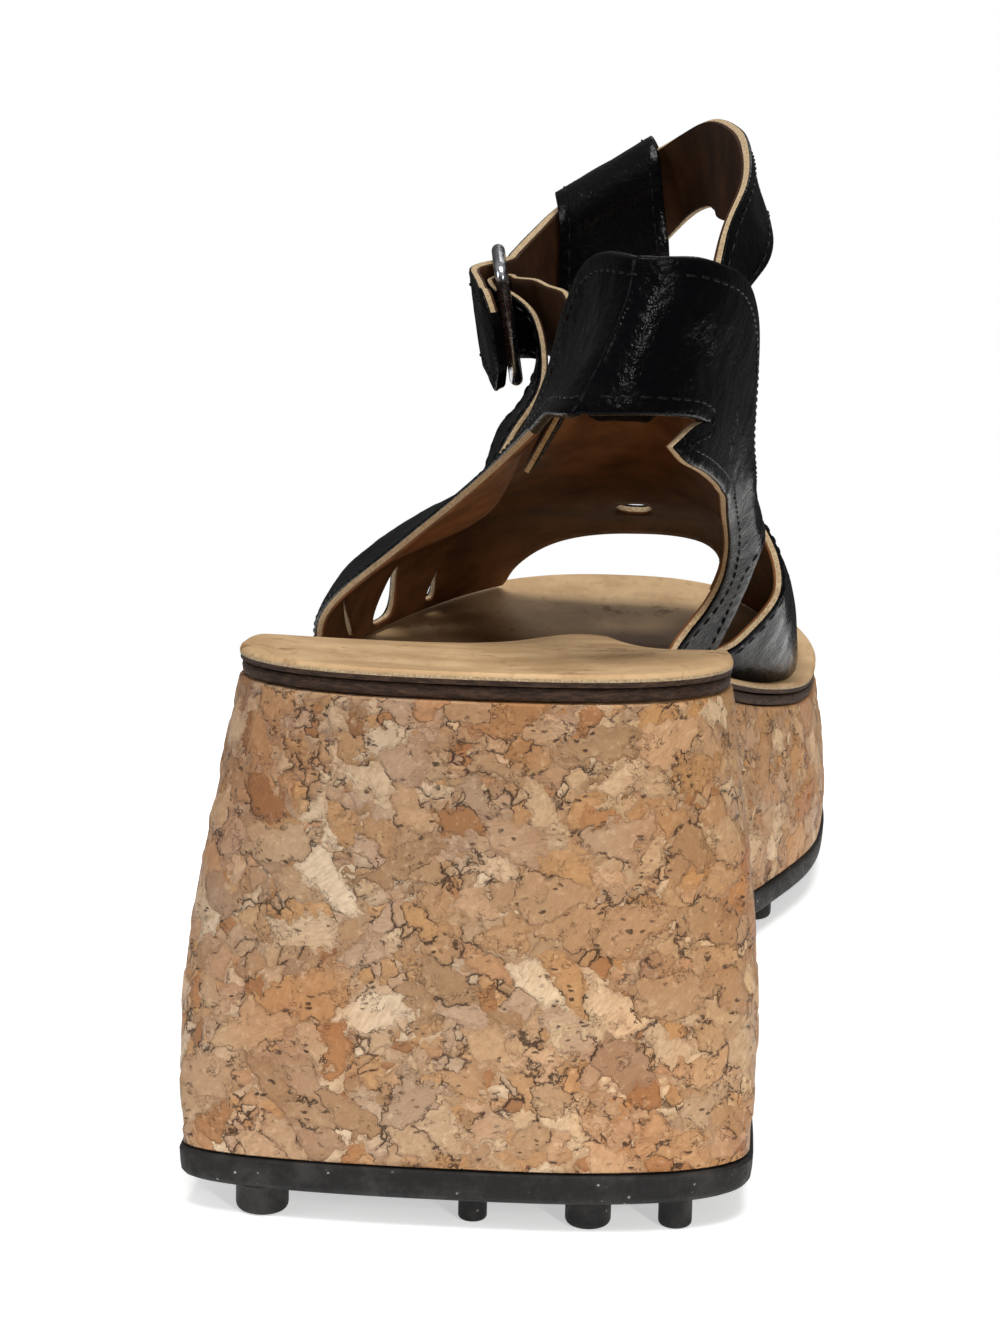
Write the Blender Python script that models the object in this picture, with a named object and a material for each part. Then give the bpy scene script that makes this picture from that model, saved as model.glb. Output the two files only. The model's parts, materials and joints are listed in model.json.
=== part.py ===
"""Platform sandal for the left foot: cork wedge, studded rubber outsole, leather T-strap upper.

Frame: metres, +Z up, floor at z = 0. +Y points to the toe and +X to the medial side.
"""
import math

import bmesh
import bpy
import numpy as np
from mathutils import Matrix, Vector

MM = 0.001

# Clearance between pieces that meet
GAP = 0.3 * MM

# Sole
SOLE_LENGTH = 255 * MM
BALL_WIDTH = 92 * MM
HEEL_HEIGHT = 80 * MM
BALL_HEIGHT = 40 * MM
HEEL_ROUND_TOP = 27 * MM
HEEL_ROUND_LATERAL = 7 * MM
HEEL_ROUND_MEDIAL = 15 * MM
TOE_ROUND = 62 * MM
TOE_SPRING = 7 * MM
FLARE_LATERAL = 5.8 * MM
FLARE_MEDIAL = 5.0 * MM
BULGE_LATERAL = 1.7 * MM
BULGE_MEDIAL = 1.0 * MM
INSOLE_THICK = 1.8 * MM
INSOLE_ROUND = 0.6 * MM
HEEL_CUP = 1.6 * MM
ARCH_BUMP = 3.2 * MM
RAND_THICK = 1.8 * MM
RAND_INSET = 0.4 * MM
OUTSOLE_THICK = 4.6 * MM
OUTSOLE_LIP = 0.5 * MM
STUD_HEIGHT = 4.3 * MM
STUD_DIAMETER = 6.8 * MM
STUD_ROUND = 1.1 * MM
STUD_MARGIN = 6.0 * MM

# Upper
UPPER_WALL = 1.8 * MM
UPPER_INSET = 3.4 * MM
INSTEP_RISE = 98 * MM
HEEL_RISE = 58 * MM
SIDE_RISE = 70 * MM
HEEL_STRAP_LIFT = 31 * MM
HEEL_STRAP_WIDTH = 22.5 * MM
VENT_DIAMETER = 7.5 * MM

# Ankle strap, its loop and its buckle
STRAP_WIDTH = 15.5 * MM
STRAP_THICK = 1.8 * MM
LOOP_WIDTH = 19 * MM
LOOP_THICK = 1.4 * MM
TAB_WIDTH = 12 * MM
TAB_THICK = 1.4 * MM
WIRE_DIAMETER = 2.2 * MM
PRONG_DIAMETER = 1.7 * MM
BUCKLE_LENGTH = 14.4 * MM
STRAP_HOLE = 2.8 * MM

# Steps along and across the lofted slabs
SOLE_STATIONS = 44
INSOLE_COLUMNS = 8

# Sole sections from heel (-1) to toe (+1). Widths and centre are shares of the ball's half
# width, and height is the share of the drop from heel to ball.
SECTION_COLUMNS = ("along", "lateral", "medial", "centre", "height")
SECTIONS = (
    (-1.00, 0.775, 0.74, 0.00, 1.000),
    (-0.75, 0.785, 0.73, 0.00, 0.920),
    (-0.50, 0.80, 0.68, 0.00, 0.760),
    (-0.25, 0.835, 0.60, 0.00, 0.565),
    (0.00, 0.89, 0.58, 0.00, 0.340),
    (0.20, 0.97, 0.80, 0.00, 0.140),
    (0.40, 1.00, 0.98, 0.00, 0.020),
    (0.60, 0.98, 1.00, 0.03, 0.000),
    (0.80, 0.93, 0.93, 0.10, 0.030),
    (1.00, 0.86, 0.84, 0.17, 0.100),
)

# Level loops of the leather, from the footbed edge (up 0) to the top of the ankle (up 1).
# Places are shares of half the sole's length or of the ball's half width, and rises are
# shares of the instep, heel and side rises. keep is how much of the sole's outline stays.
LEVEL_COLUMNS = ("up", "front_y", "front_rise", "front_x", "back_y", "back_rise", "back_x",
                 "lateral_x", "medial_x", "side_rise", "keep", "lateral_skew", "medial_skew")
LEVELS = (
    (0.0, 1.00, 0.00, 0.17, -1.00, 0.00, 0.00, -1.00, 0.95, 0.00, 1.00, 0.2, 0.2),
    (0.2, 0.80, 0.16, 0.26, -0.99, 0.22, 0.08, -0.875, 0.92, 0.18, 0.80, 0.43, 0.2),
    (0.4, 0.55, 0.29, 0.28, -0.96, 0.44, 0.19, -0.50, 0.88, 0.38, 0.45, 0.88, 0.2),
    (0.6, 0.31, 0.46, 0.27, -0.93, 0.66, 0.31, -0.10, 0.82, 0.58, 0.15, 0.84, 0.1),
    (0.8, 0.14, 0.70, 0.24, -0.91, 0.84, 0.40, -0.08, 0.79, 0.79, 0.05, 0.8, 0.0),
    (1.0, 0.10, 1.00, 0.24, -0.90, 1.00, 0.44, -0.08, 0.79, 1.00, 0.00, 0.6, 0.0),
)


def column(table, names, name):
    """One named column of a table."""
    return np.array([row[names.index(name)] for row in table])


def smooth(xs, ys, x):
    """Smooth curve through (xs, ys), read at x."""
    x = np.clip(np.asarray(x, float), xs[0], xs[-1])
    slope = np.diff(ys) / np.diff(xs)
    tangent = np.concatenate([slope[:1], (slope[:-1] + slope[1:]) / 2, slope[-1:]])
    i = np.clip(np.searchsorted(xs, x, side="right") - 1, 0, len(xs) - 2)
    h = xs[i + 1] - xs[i]
    s = (x - xs[i]) / h
    start = (2 * s**3 - 3 * s**2 + 1) * ys[i] + (s**3 - 2 * s**2 + s) * h * tangent[i]
    end = (3 * s**2 - 2 * s**3) * ys[i + 1] + (s**3 - s**2) * h * tangent[i + 1]
    return start + end


def section(name, along):
    """A column of the sole's sections, read at a place along the sole."""
    return smooth(column(SECTIONS, SECTION_COLUMNS, "along"), column(SECTIONS, SECTION_COLUMNS, name), along)


def level(name, up):
    """A column of the leather's level loops, read at a height share."""
    return smooth(column(LEVELS, LEVEL_COLUMNS, "up"), column(LEVELS, LEVEL_COLUMNS, name), up)


def end_rounding(along, heel_round):
    """Share of the full width that is left near the heel and the toe."""
    bluntness = 2.5
    back = np.clip((1 + along) * SOLE_LENGTH / 2 / heel_round, 0, 1)
    front = np.clip((1 - along) * SOLE_LENGTH / 2 / TOE_ROUND, 0, 1)
    heel = (1 - (1 - back)**bluntness)**(1 / bluntness)
    toe = (1 - (1 - front)**bluntness)**(1 / bluntness)
    return heel * toe


def footbed_height(along):
    """Height of the footbed's edge above the floor."""
    return BALL_HEIGHT + section("height", along) * (HEEL_HEIGHT - BALL_HEIGHT)


def ground_height(along):
    """Height of the outsole's underside, between the studs, with its toe spring."""
    start = 0.42
    rise = np.clip((along - start) / (1 - start), 0, 1)
    return STUD_HEIGHT + TOE_SPRING * rise**2


def sole_edge(along, side, drop=0.0, inset=0.0):
    """Point (x, y) on the sole's outline. side is +1 medial or -1 lateral, drop is 0 at the
    footbed and 1 at the outsole, and inset moves the outline inwards."""
    bottom_round = HEEL_ROUND_MEDIAL if side > 0 else HEEL_ROUND_LATERAL
    heel_round = HEEL_ROUND_TOP + (bottom_round - HEEL_ROUND_TOP) * drop
    half = BALL_WIDTH / 2
    width = section("medial" if side > 0 else "lateral", along) * half
    stack = (footbed_height(along) - ground_height(along)) / HEEL_HEIGHT
    flare = (FLARE_MEDIAL if side > 0 else FLARE_LATERAL) * (1 - (1 - drop)**1.9)
    bulge = (BULGE_MEDIAL if side > 0 else BULGE_LATERAL) * math.sin(math.pi * drop**1.6)
    width = (width + (flare + bulge) * stack - inset) * end_rounding(along, heel_round)
    x = section("centre", along) * half + side * width
    y = along * (SOLE_LENGTH / 2 - inset)
    return x, y


def feather(around, inset):
    """Point on the footbed's edge. around is 0 at the toe, +1 at the heel by the lateral side
    and -1 at the heel by the medial side."""
    along = np.cos(np.pi * around)
    x_medial, y = sole_edge(along, 1, inset=inset)
    x_lateral, _ = sole_edge(along, -1, inset=inset)
    x = np.where(np.sin(np.pi * around) < 0, x_medial, x_lateral)
    return np.stack([x, y, footbed_height(along)], -1)


def level_loop(around, up):
    """Point (x, y) on a level loop, before the sole's outline is kept."""
    along = np.cos(np.pi * around)
    sideways = np.sin(np.pi * around)
    mix = (1 + along) / 2
    back_x, front_x = level("back_x", up), level("front_x", up)
    spine = back_x + (front_x - back_x) * mix
    middle = (back_x + front_x) / 2
    lateral = (level("lateral_x", up) - middle) * (1 + level("lateral_skew", up) * along)
    medial = (level("medial_x", up) - middle) * (1 + level("medial_skew", up) * along)
    offset = np.where(sideways >= 0, lateral, medial) * np.abs(sideways)**0.85
    back_y, front_y = level("back_y", up), level("front_y", up)
    return (spine + offset) * BALL_WIDTH / 2, (back_y + (front_y - back_y) * mix) * SOLE_LENGTH / 2


def leather(around, up):
    """Outer surface of the leather: around as in feather, up 0 at the footbed, 1 at the top."""
    around, up = np.broadcast_arrays(np.asarray(around, float), np.asarray(up, float))
    foot = feather(around, UPPER_INSET)
    x, y = level_loop(around, up)
    x_low, y_low = level_loop(around, np.zeros_like(up))
    keep = level("keep", up)
    along = np.cos(np.pi * around)
    rise = level("front_rise", up) * INSTEP_RISE * np.clip(along, 0, None)**2
    rise = rise + level("back_rise", up) * HEEL_RISE * np.clip(-along, 0, None)**2
    rise = rise + level("side_rise", up) * SIDE_RISE * np.sin(np.pi * around)**2
    z = foot[..., 2] + 1.5 * GAP + rise
    return np.stack([x + (foot[..., 0] - x_low) * keep, y + (foot[..., 1] - y_low) * keep, z], -1)


def leather_normal(around, up):
    """Unit normal of the leather, pointing towards the foot."""
    step = 0.004
    across = leather(around + step, up) - leather(around - step, up)
    high = np.clip(up + step, 0, 1)
    low = np.clip(up - step, 0, 1)
    rising = leather(around, high) - leather(around, low)
    normal = np.cross(across, rising)
    normal = -normal / np.linalg.norm(normal, axis=-1, keepdims=True)
    normal[..., 2] *= np.clip(up / 0.08, 0, 1)
    return normal / np.linalg.norm(normal, axis=-1, keepdims=True)


def material(name, colour, roughness, metallic=0.0):
    """Principled material with the part's colour."""
    made = bpy.data.materials.new(name)
    made.use_nodes = True
    shader = made.node_tree.nodes["Principled BSDF"]
    shader.inputs["Base Color"].default_value = (*colour, 1.0)
    shader.inputs["Roughness"].default_value = roughness
    shader.inputs["Metallic"].default_value = metallic
    return made


def add_object(name, bm, finish, collection):
    """Object from a bmesh, with its faces pointing out and its round parts smooth."""
    bmesh.ops.remove_doubles(bm, verts=bm.verts, dist=0.005 * MM)
    bmesh.ops.dissolve_degenerate(bm, edges=bm.edges, dist=0.005 * MM)
    bmesh.ops.recalc_face_normals(bm, faces=bm.faces)
    mesh = bpy.data.meshes.new(name)
    bm.to_mesh(mesh)
    bm.free()
    mesh.materials.append(finish)
    mesh.shade_smooth()
    mesh.set_sharp_from_angle(angle=math.radians(40))
    made = bpy.data.objects.new(name, mesh)
    collection.objects.link(made)
    return made


def boolean(target, cutter, operation):
    """Cut or join a target with another object, then remove that object."""
    modifier = target.modifiers.new(operation, "BOOLEAN")
    modifier.operation = operation
    modifier.object = cutter
    bpy.context.view_layer.update()
    evaluated = target.evaluated_get(bpy.context.evaluated_depsgraph_get())
    mesh = bpy.data.meshes.new_from_object(evaluated)
    target.modifiers.clear()
    target.data = mesh
    bpy.data.objects.remove(cutter)


def stations(count):
    """Places along the sole, closer together at heel and toe."""
    return -np.cos(np.linspace(0, math.pi, count + 1))


def slab(name, rings, finish, collection):
    """Solid lofted along the sole. Each ring is a closed list of points, and the first and
    last rings close to a line."""
    bm = bmesh.new()
    rows = [[bm.verts.new(point) for point in ring] for ring in rings]
    for low, high in zip(rows, rows[1:]):
        for i in range(len(low)):
            j = (i + 1) % len(low)
            bm.faces.new((low[i], low[j], high[j], high[i]))
    return add_object(name, bm, finish, collection)


def sole_ring(along, drops_heights, inset=0.0, top=None):
    """Ring of a slab: down the medial side, across below, up the lateral side, across on top.
    drops_heights lists (drop, z, extra inset) from top to bottom."""
    ring = []
    for side in (1, -1):
        points = []
        for drop, z, extra in drops_heights:
            x, y = sole_edge(along, side, drop, inset + extra)
            points.append((float(x), float(y), float(z)))
        ring += points if side > 0 else points[::-1]
    if top:
        ring += top(ring[-1], ring[0])
    return ring


def footbed_relief(across, along):
    """Height of the footbed above its edge: a cupped heel and a raised inner arch.
    across is -1 at the lateral edge and +1 at the medial edge."""
    cup = -HEEL_CUP * (1 - across**2)**1.5 * np.clip((-along - 0.35) / 0.4, 0, 1)
    cup = cup * np.clip((1 + along) / 0.12, 0, 1)
    arch = np.exp(-((along + 0.16) / 0.24)**2 - ((across - 0.45) / 0.38)**2)
    ball = np.exp(-((along - 0.22) / 0.13)**2 - (across / 0.5)**2)
    fade = np.clip((0.86 - abs(across)) / 0.3, 0, 1)
    return cup + ARCH_BUMP * (arch + 0.35 * ball) * fade


def make_insole(finish, collection):
    """Leather footbed with a rounded edge."""
    rings = []
    for along in stations(SOLE_STATIONS):
        edge = footbed_height(along)
        levels = [(0, edge - 0.25 * INSOLE_ROUND, 0.25 * INSOLE_ROUND), (0, edge - INSOLE_ROUND, 0),
                  (0, edge - INSOLE_THICK, 0)]

        def top(lateral, medial, along=along):
            points = []
            for k in range(1, INSOLE_COLUMNS):
                across = -math.cos(math.pi * k / INSOLE_COLUMNS)
                mix = (1 + across) / 2
                x = lateral[0] + (medial[0] - lateral[0]) * mix
                z = footbed_height(along) + footbed_relief(across, along)
                points.append((x, lateral[1], float(z)))
            return points

        rings.append(sole_ring(along, levels, top=top))
    return slab("insole", rings, finish, collection)


def rand_top(along):
    """Top of the rand, under the insole."""
    return footbed_height(along) - INSOLE_THICK - GAP


def wedge_top(along):
    """Top of the cork wedge, under the rand."""
    return rand_top(along) - RAND_THICK - GAP


def make_rand(finish, collection):
    """Thin dark layer between the insole and the cork."""
    rings = []
    for along in stations(SOLE_STATIONS):
        high = rand_top(along)
        rings.append(sole_ring(along, [(0, high, 0), (0, high - RAND_THICK, 0)], inset=RAND_INSET))
    return slab("rand", rings, finish, collection)


def make_wedge(finish, collection):
    """Cork wedge whose sides swell towards the floor."""
    rings = []
    for along in stations(SOLE_STATIONS):
        high = wedge_top(along)
        low = ground_height(along) + OUTSOLE_THICK + GAP
        drops = (0, 0.22, 0.45, 0.72, 1)
        rings.append(sole_ring(along, [(drop, high + (low - high) * drop, 0) for drop in drops]))
    return slab("wedge", rings, finish, collection)


# Studs of the outsole: place along, place across (-1 lateral, +1 medial), size share.
STUD_COLUMNS = ("along", "across", "size")
STUDS = (
    (-1.0, -0.84, 1.1), (-1.0, 0.52, 0.95), (-0.99, 0.88, 0.7), (-1.0, 0.04, 0.6),
    (-0.72, -0.98, 1.0), (-0.72, 0.98, 1.0), (-0.70, 0.0, 1.0),
    (-0.46, -0.98, 1.0), (-0.46, 0.98, 1.0),
    (0.08, -0.98, 1.0), (0.08, 0.98, 1.0), (0.14, 0.0, 1.0),
    (0.30, -0.98, 1.0), (0.30, 0.98, 1.0), (0.38, -0.45, 0.7), (0.38, 0.45, 0.7),
    (0.52, -0.98, 1.0), (0.52, 0.98, 1.0), (0.58, 0.0, 1.0),
    (0.76, -0.95, 1.0), (0.76, 0.95, 1.0), (0.92, 0.0, 1.0),
)


def make_stud(name, along, across, size, finish, collection):
    """Round stud with a rounded foot, reaching up into the outsole."""
    sides = 12
    radius = STUD_DIAMETER / 2 * size
    widest = max(along, -0.9)
    x_medial, _ = sole_edge(widest, 1, 1, STUD_MARGIN)
    x_lateral, _ = sole_edge(widest, -1, 1, STUD_MARGIN)
    x = x_lateral + (x_medial - x_lateral) * (1 + across) / 2
    y = along * (SOLE_LENGTH / 2 - STUD_MARGIN)
    base = ground_height(along)
    foot = base - STUD_HEIGHT
    root = base + OUTSOLE_THICK / 2
    bm = bmesh.new()
    bmesh.ops.create_cone(bm, cap_ends=True, segments=sides, radius1=radius, radius2=radius, depth=root - foot)
    low_edges = [edge for edge in bm.edges if all(v.co.z < 0 for v in edge.verts)]
    bmesh.ops.bevel(bm, geom=low_edges, offset=STUD_ROUND * size, segments=2, profile=0.5, affect="EDGES")
    bmesh.ops.translate(bm, verts=bm.verts, vec=(float(x), float(y), float(foot + root) / 2))
    return add_object(name, bm, finish, collection)


def make_outsole(finish, collection):
    """Rubber outsole with a small lip around the cork and round studs below."""
    rings = []
    for along in stations(SOLE_STATIONS):
        low = ground_height(along)
        edge = 1.2 * MM
        levels = [(1, low + OUTSOLE_THICK, 0), (1, low + edge, 0), (1, low, edge)]
        rings.append(sole_ring(along, levels, inset=-OUTSOLE_LIP))
    outsole = slab("outsole", rings, finish, collection)
    for number, row in enumerate(STUDS):
        stud = make_stud(f"stud_{number}", *row, finish, collection)
        boolean(outsole, stud, "UNION")
    return outsole


# Heights of the heel strap's two edges, as shares of the heel rise
STRAP_LOW = HEEL_STRAP_LIFT / HEEL_RISE
STRAP_HIGH = (HEEL_STRAP_LIFT + HEEL_STRAP_WIDTH) / HEEL_RISE

# Height share of the instep strap's top edge, inside its loop
INSTEP_TOP = 0.78
# Length along the leather of one unit of around, at the instep strap
INSTEP_SPREAD = 105 * MM

# Outline of the upper on the leather: (around, up, corner). It runs from the toe opening
# along the lateral side to the heel seam, and back along the medial side.
LATERAL_EDGE = (
    (0.115, 0.00, 1), (0.425, 0.00, 1), (0.425, 0.10, 0), (0.43, 0.20, 0), (0.445, 0.30, 0),
    (0.475, 0.38, 0), (0.53, 0.44, 0), (0.61, 0.485, 0), (0.72, STRAP_LOW - 0.02, 0),
    (0.86, STRAP_LOW - 0.005, 0), (1.0, STRAP_LOW, 1), (1.0, STRAP_HIGH, 1),
    (0.90, STRAP_HIGH - 0.01, 0), (0.80, STRAP_HIGH - 0.04, 0), (0.725, STRAP_HIGH - 0.075, 0),
    (0.67, 0.775, 0), (0.625, 0.685, 0), (0.57, 0.635, 0), (0.50, 0.615, 0), (0.42, 0.62, 0),
    (0.34, 0.635, 0), (0.25, 0.64, 0), (0.175, 0.665, 0), (0.13, 0.70, 0), (0.105, 0.74, 0),
    (0.098, INSTEP_TOP, 1),
)
MEDIAL_EDGE = (
    (-0.100, INSTEP_TOP, 1), (-0.104, 0.745, 0), (-0.12, 0.71, 0), (-0.16, 0.675, 0), (-0.22, 0.655, 0),
    (-0.32, 0.665, 0), (-0.42, 0.70, 0), (-0.54, 0.745, 0), (-0.68, STRAP_HIGH - 0.12, 0),
    (-0.80, STRAP_HIGH - 0.07, 0), (-0.90, STRAP_HIGH - 0.015, 0), (-1.0, STRAP_HIGH, 1),
    (-1.0, STRAP_LOW, 1), (-0.92, STRAP_LOW, 0), (-0.84, STRAP_LOW - 0.01, 0), (-0.785, STRAP_LOW - 0.028, 1),
    (-0.83, STRAP_LOW - 0.04, 0), (-0.872, STRAP_LOW - 0.075, 1), (-0.83, STRAP_LOW - 0.115, 0),
    (-0.74, STRAP_LOW - 0.14, 0), (-0.64, STRAP_LOW - 0.125, 0), (-0.56, 0.44, 0),
    (-0.50, 0.42, 0), (-0.478, 0.33, 0), (-0.478, 0.22, 0), (-0.492, 0.11, 0), (-0.512, 0.00, 1),
    (-0.100, 0.00, 1), (-0.103, 0.07, 0), (-0.104, 0.135, 0), (-0.080, 0.175, 0), (-0.03, 0.185, 0),
    (0.02, 0.178, 0), (0.062, 0.145, 0), (0.096, 0.08, 0),
)
MEDIAL_WINDOW = (
    (-0.468, 0.045, 1), (-0.460, 0.12, 0), (-0.452, 0.22, 0), (-0.447, 0.32, 0), (-0.438, 0.41, 0),
    (-0.41, 0.49, 0), (-0.36, 0.55, 0), (-0.30, 0.575, 0), (-0.235, 0.575, 0), (-0.195, 0.535, 1),
    (-0.25, 0.475, 0), (-0.305, 0.425, 0), (-0.352, 0.36, 0), (-0.390, 0.28, 0), (-0.418, 0.20, 0),
    (-0.442, 0.12, 0),
)
# Slits: around at the foot, around at the tip, up at the foot, up at the tip, width at the foot
SLIT_COLUMNS = ("foot", "tip", "low", "high", "width")
SLITS = (
    (0.312, 0.312, 0.035, 0.25, 0.013),
    (0.262, 0.222, 0.022, 0.21, 0.030),
    (0.198, 0.178, 0.030, 0.14, 0.012),
    (-0.305, -0.285, 0.060, 0.26, 0.008),
)


def rounded_path(points):
    """Closed outline as a smooth curve that keeps its marked corners."""
    step = 0.25
    outline = []
    count = len(points)
    for i in range(count):
        before, start, end, after = (np.array(points[(i + k) % count][:2], float) for k in (-1, 0, 1, 2))
        if points[i][2]:
            before = start
        if points[(i + 1) % count][2]:
            after = end
        straight = points[i][2] and points[(i + 1) % count][2]
        for s in [0] if straight else np.arange(0, 1, step):
            out = (end - before) / 2 if not points[i][2] else (end - start)
            into = (after - start) / 2 if not points[(i + 1) % count][2] else (end - start)
            place = ((2 * s**3 - 3 * s**2 + 1) * start + (s**3 - 2 * s**2 + s) * out
                     + (3 * s**2 - 2 * s**3) * end + (s**3 - s**2) * into)
            outline.append(place)
    return outline


def slit_path(foot, tip, low, high, width):
    """Thin drop-shaped outline from its wide foot to its tip."""
    length = high - low
    shape = ((0.0, -0.4), (0.06, -0.9), (0.25, -1.0), (0.6, -0.62), (1.0, 0.0),
             (0.6, 0.62), (0.25, 1.0), (0.06, 0.9), (0.0, 0.4))
    return [np.array([foot + (tip - foot) * s + width / 2 * w, low + length * s]) for s, w in shape]


def vent_path():
    """Round hole on the instep, in the pattern's own shares."""
    sides = 14
    up = 0.315
    across = np.linalg.norm(leather(0.01, up) - leather(-0.01, up)) / 0.02
    rising = np.linalg.norm(leather(0, up + 0.01) - leather(0, up - 0.01)) / 0.02
    turn = [2 * math.pi * k / sides for k in range(sides)]
    radius = VENT_DIAMETER / 2
    return [np.array([radius / across * math.cos(a), up + radius / rising * math.sin(a)]) for a in turn]


# The flat pattern is drawn at about true scale: pattern length of one unit of around and up
PATTERN_AROUND = 1.1 * SOLE_LENGTH
PATTERN_UP = 1.2 * HEEL_RISE
GRID_AROUND = 72
GRID_UP = 14


def flat_pattern(outlines):
    """Flat mesh of an outline with its holes, cut along a regular grid."""
    curve = bpy.data.curves.new("pattern", "CURVE")
    curve.dimensions = "2D"
    curve.fill_mode = "BOTH"
    for outline in outlines:
        spline = curve.splines.new("POLY")
        spline.points.add(len(outline) - 1)
        for point, (around, up) in zip(spline.points, outline):
            point.co = (around * PATTERN_AROUND, up * PATTERN_UP, 0, 1)
        spline.use_cyclic_u = True
    drawn = bpy.data.objects.new("pattern", curve)
    bpy.context.collection.objects.link(drawn)
    bpy.context.view_layer.update()
    mesh = bpy.data.meshes.new_from_object(drawn.evaluated_get(bpy.context.evaluated_depsgraph_get()))
    bpy.data.objects.remove(drawn)
    bm = bmesh.new()
    bm.from_mesh(mesh)
    bmesh.ops.remove_doubles(bm, verts=bm.verts, dist=0.02 * MM)
    columns = [(2 * k / GRID_AROUND - 1) * PATTERN_AROUND for k in range(1, GRID_AROUND)]
    rows = [k / GRID_UP * PATTERN_UP for k in range(1, GRID_UP)]
    for axis, lines in enumerate((columns, rows)):
        normal = Vector((0, 0, 0))
        normal[axis] = 1
        for place in lines:
            geometry = bm.verts[:] + bm.edges[:] + bm.faces[:]
            bmesh.ops.bisect_plane(bm, geom=geometry, dist=0.02 * MM, plane_co=normal * place, plane_no=normal)
    inside = [edge for edge in bm.edges if not edge.is_boundary and not on_line(edge, columns, rows)]
    bmesh.ops.dissolve_edges(bm, edges=inside, use_verts=False)
    spare = [v for v in bm.verts if not v.is_boundary and len(v.link_edges) == 2]
    bmesh.ops.dissolve_verts(bm, verts=spare)
    cut = [face for face in bm.faces if len(face.verts) > 4 or any(v.is_boundary for v in face.verts)]
    bmesh.ops.triangulate(bm, faces=cut, quad_method="BEAUTY", ngon_method="BEAUTY")
    return bm


def on_line(edge, columns, rows):
    """Whether an edge of the flat pattern lies on a line of its grid."""
    for axis, lines in enumerate((columns, rows)):
        first, second = (v.co[axis] for v in edge.verts)
        if abs(first - second) < 0.01 * MM and min(abs(first - place) for place in lines) < 0.03 * MM:
            return True
    return False


def make_upper(finish, collection):
    """T-strap vamp, quarters and heel strap: one leather wall with its cut-outs."""
    outline = rounded_path(LATERAL_EDGE + MEDIAL_EDGE)
    holes = [rounded_path(MEDIAL_WINDOW), vent_path()] + [slit_path(*row) for row in SLITS]
    bm = flat_pattern([outline] + holes)
    around = np.array([v.co.x for v in bm.verts]) / PATTERN_AROUND
    up = np.array([v.co.y for v in bm.verts]) / PATTERN_UP
    outer = leather(around, up)
    inner = outer + leather_normal(around, up) * UPPER_WALL
    inside = bm.verts.layers.float_vector.new("inside")
    for v, outer_point, inner_point in zip(bm.verts, outer, inner):
        v.co = outer_point
        v[inside] = inner_point
    bmesh.ops.remove_doubles(bm, verts=bm.verts, dist=0.02 * MM)
    grown = bmesh.ops.extrude_face_region(bm, geom=bm.faces[:], use_keep_orig=True)
    for v in grown["geom"]:
        if isinstance(v, bmesh.types.BMVert):
            v.co = v[inside]
    return add_object("upper", bm, finish, collection)


# The ankle strap's two edges from its sewn start to the loop. Places are shares of half the
# ball's width, half the sole's length and the heel's height.
STRAP_COLUMNS = ("x_top", "y_top", "z_top", "x_low", "y_low", "z_low")
STRAP_EDGES = (
    (0.635, -0.722, 1.620, 0.700, -0.620, 1.570), (0.663, -0.675, 1.698, 0.780, -0.569, 1.636),
    (0.713, -0.580, 1.770, 0.776, -0.471, 1.685), (0.704, -0.439, 1.815, 0.748, -0.369, 1.665),
    (0.650, -0.259, 1.829, 0.635, -0.227, 1.650), (0.567, -0.078, 1.817, 0.610, -0.122, 1.651),
    (0.470, 0.039, 1.776, 0.565, 0.000, 1.640), (0.374, 0.086, 1.735, 0.490, 0.078, 1.605),
    (0.196, 0.092, 1.675, 0.335, 0.092, 1.512), (0.026, 0.092, 1.610, 0.135, 0.096, 1.433),
    (-0.050, 0.050, 1.568, 0.020, 0.090, 1.395),
)
# Where the strap's start is sewn inside the heel strap: around and up of each edge
SEWN_START = ((-0.805, 0.58, -0.70, 0.55), (-0.80, 0.72, -0.69, 0.66))

# The buckle tab's two edges where it rises from the quarter, in the strap's own shares
TAB_COLUMNS = ("x_back", "y_back", "z_back", "x_front", "y_front", "z_front")
TAB_EDGES = (
    (-0.070, -0.208, 1.212, -0.135, -0.106, 1.188), (0.017, -0.176, 1.300, -0.065, -0.086, 1.238),
)

# Buckle: centre as shares like the strap's, and its directions ahead (up the strap) and down
BUCKLE_CENTRE = (-0.1326, -0.0620, 1.415)
BUCKLE_AHEAD = (-0.11, 0.98, 0.135)
BUCKLE_DOWN = (0.146, 0.153, -0.979)
# The strap's way through the buckle, as shares of half the buckle's length
WEAVE_COLUMNS = ("ahead", "out")
WEAVE = (
    (1.00, -0.35), (0.72, -0.27), (0.575, -0.03), (0.54, 0.25), (0.45, 0.46), (0.25, 0.58),
    (0.00, 0.60), (-0.42, 0.54), (-1.00, 0.44), (-1.55, 0.34), (-2.00, 0.20), (-2.40, 0.02),
)


def buckle_axes():
    """Centre of the buckle and its directions ahead, down and out."""
    share = np.array([BALL_WIDTH / 2, SOLE_LENGTH / 2, HEEL_HEIGHT])
    centre = np.array(BUCKLE_CENTRE) * share
    ahead = np.array(BUCKLE_AHEAD) / np.linalg.norm(BUCKLE_AHEAD)
    out = np.cross(ahead, BUCKLE_DOWN)
    out = out / np.linalg.norm(out)
    return centre, ahead, np.cross(out, ahead), out


def buckle_place(ahead, down, out):
    """Point given in metres along the buckle's directions."""
    centre, along, below, outward = buckle_axes()
    return centre + along * ahead + below * down + outward * out


def skin(around, up, depth):
    """Point under the leather's outer surface, towards the foot by the given depth."""
    return leather(around, up) + leather_normal(around, up) * depth


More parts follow.
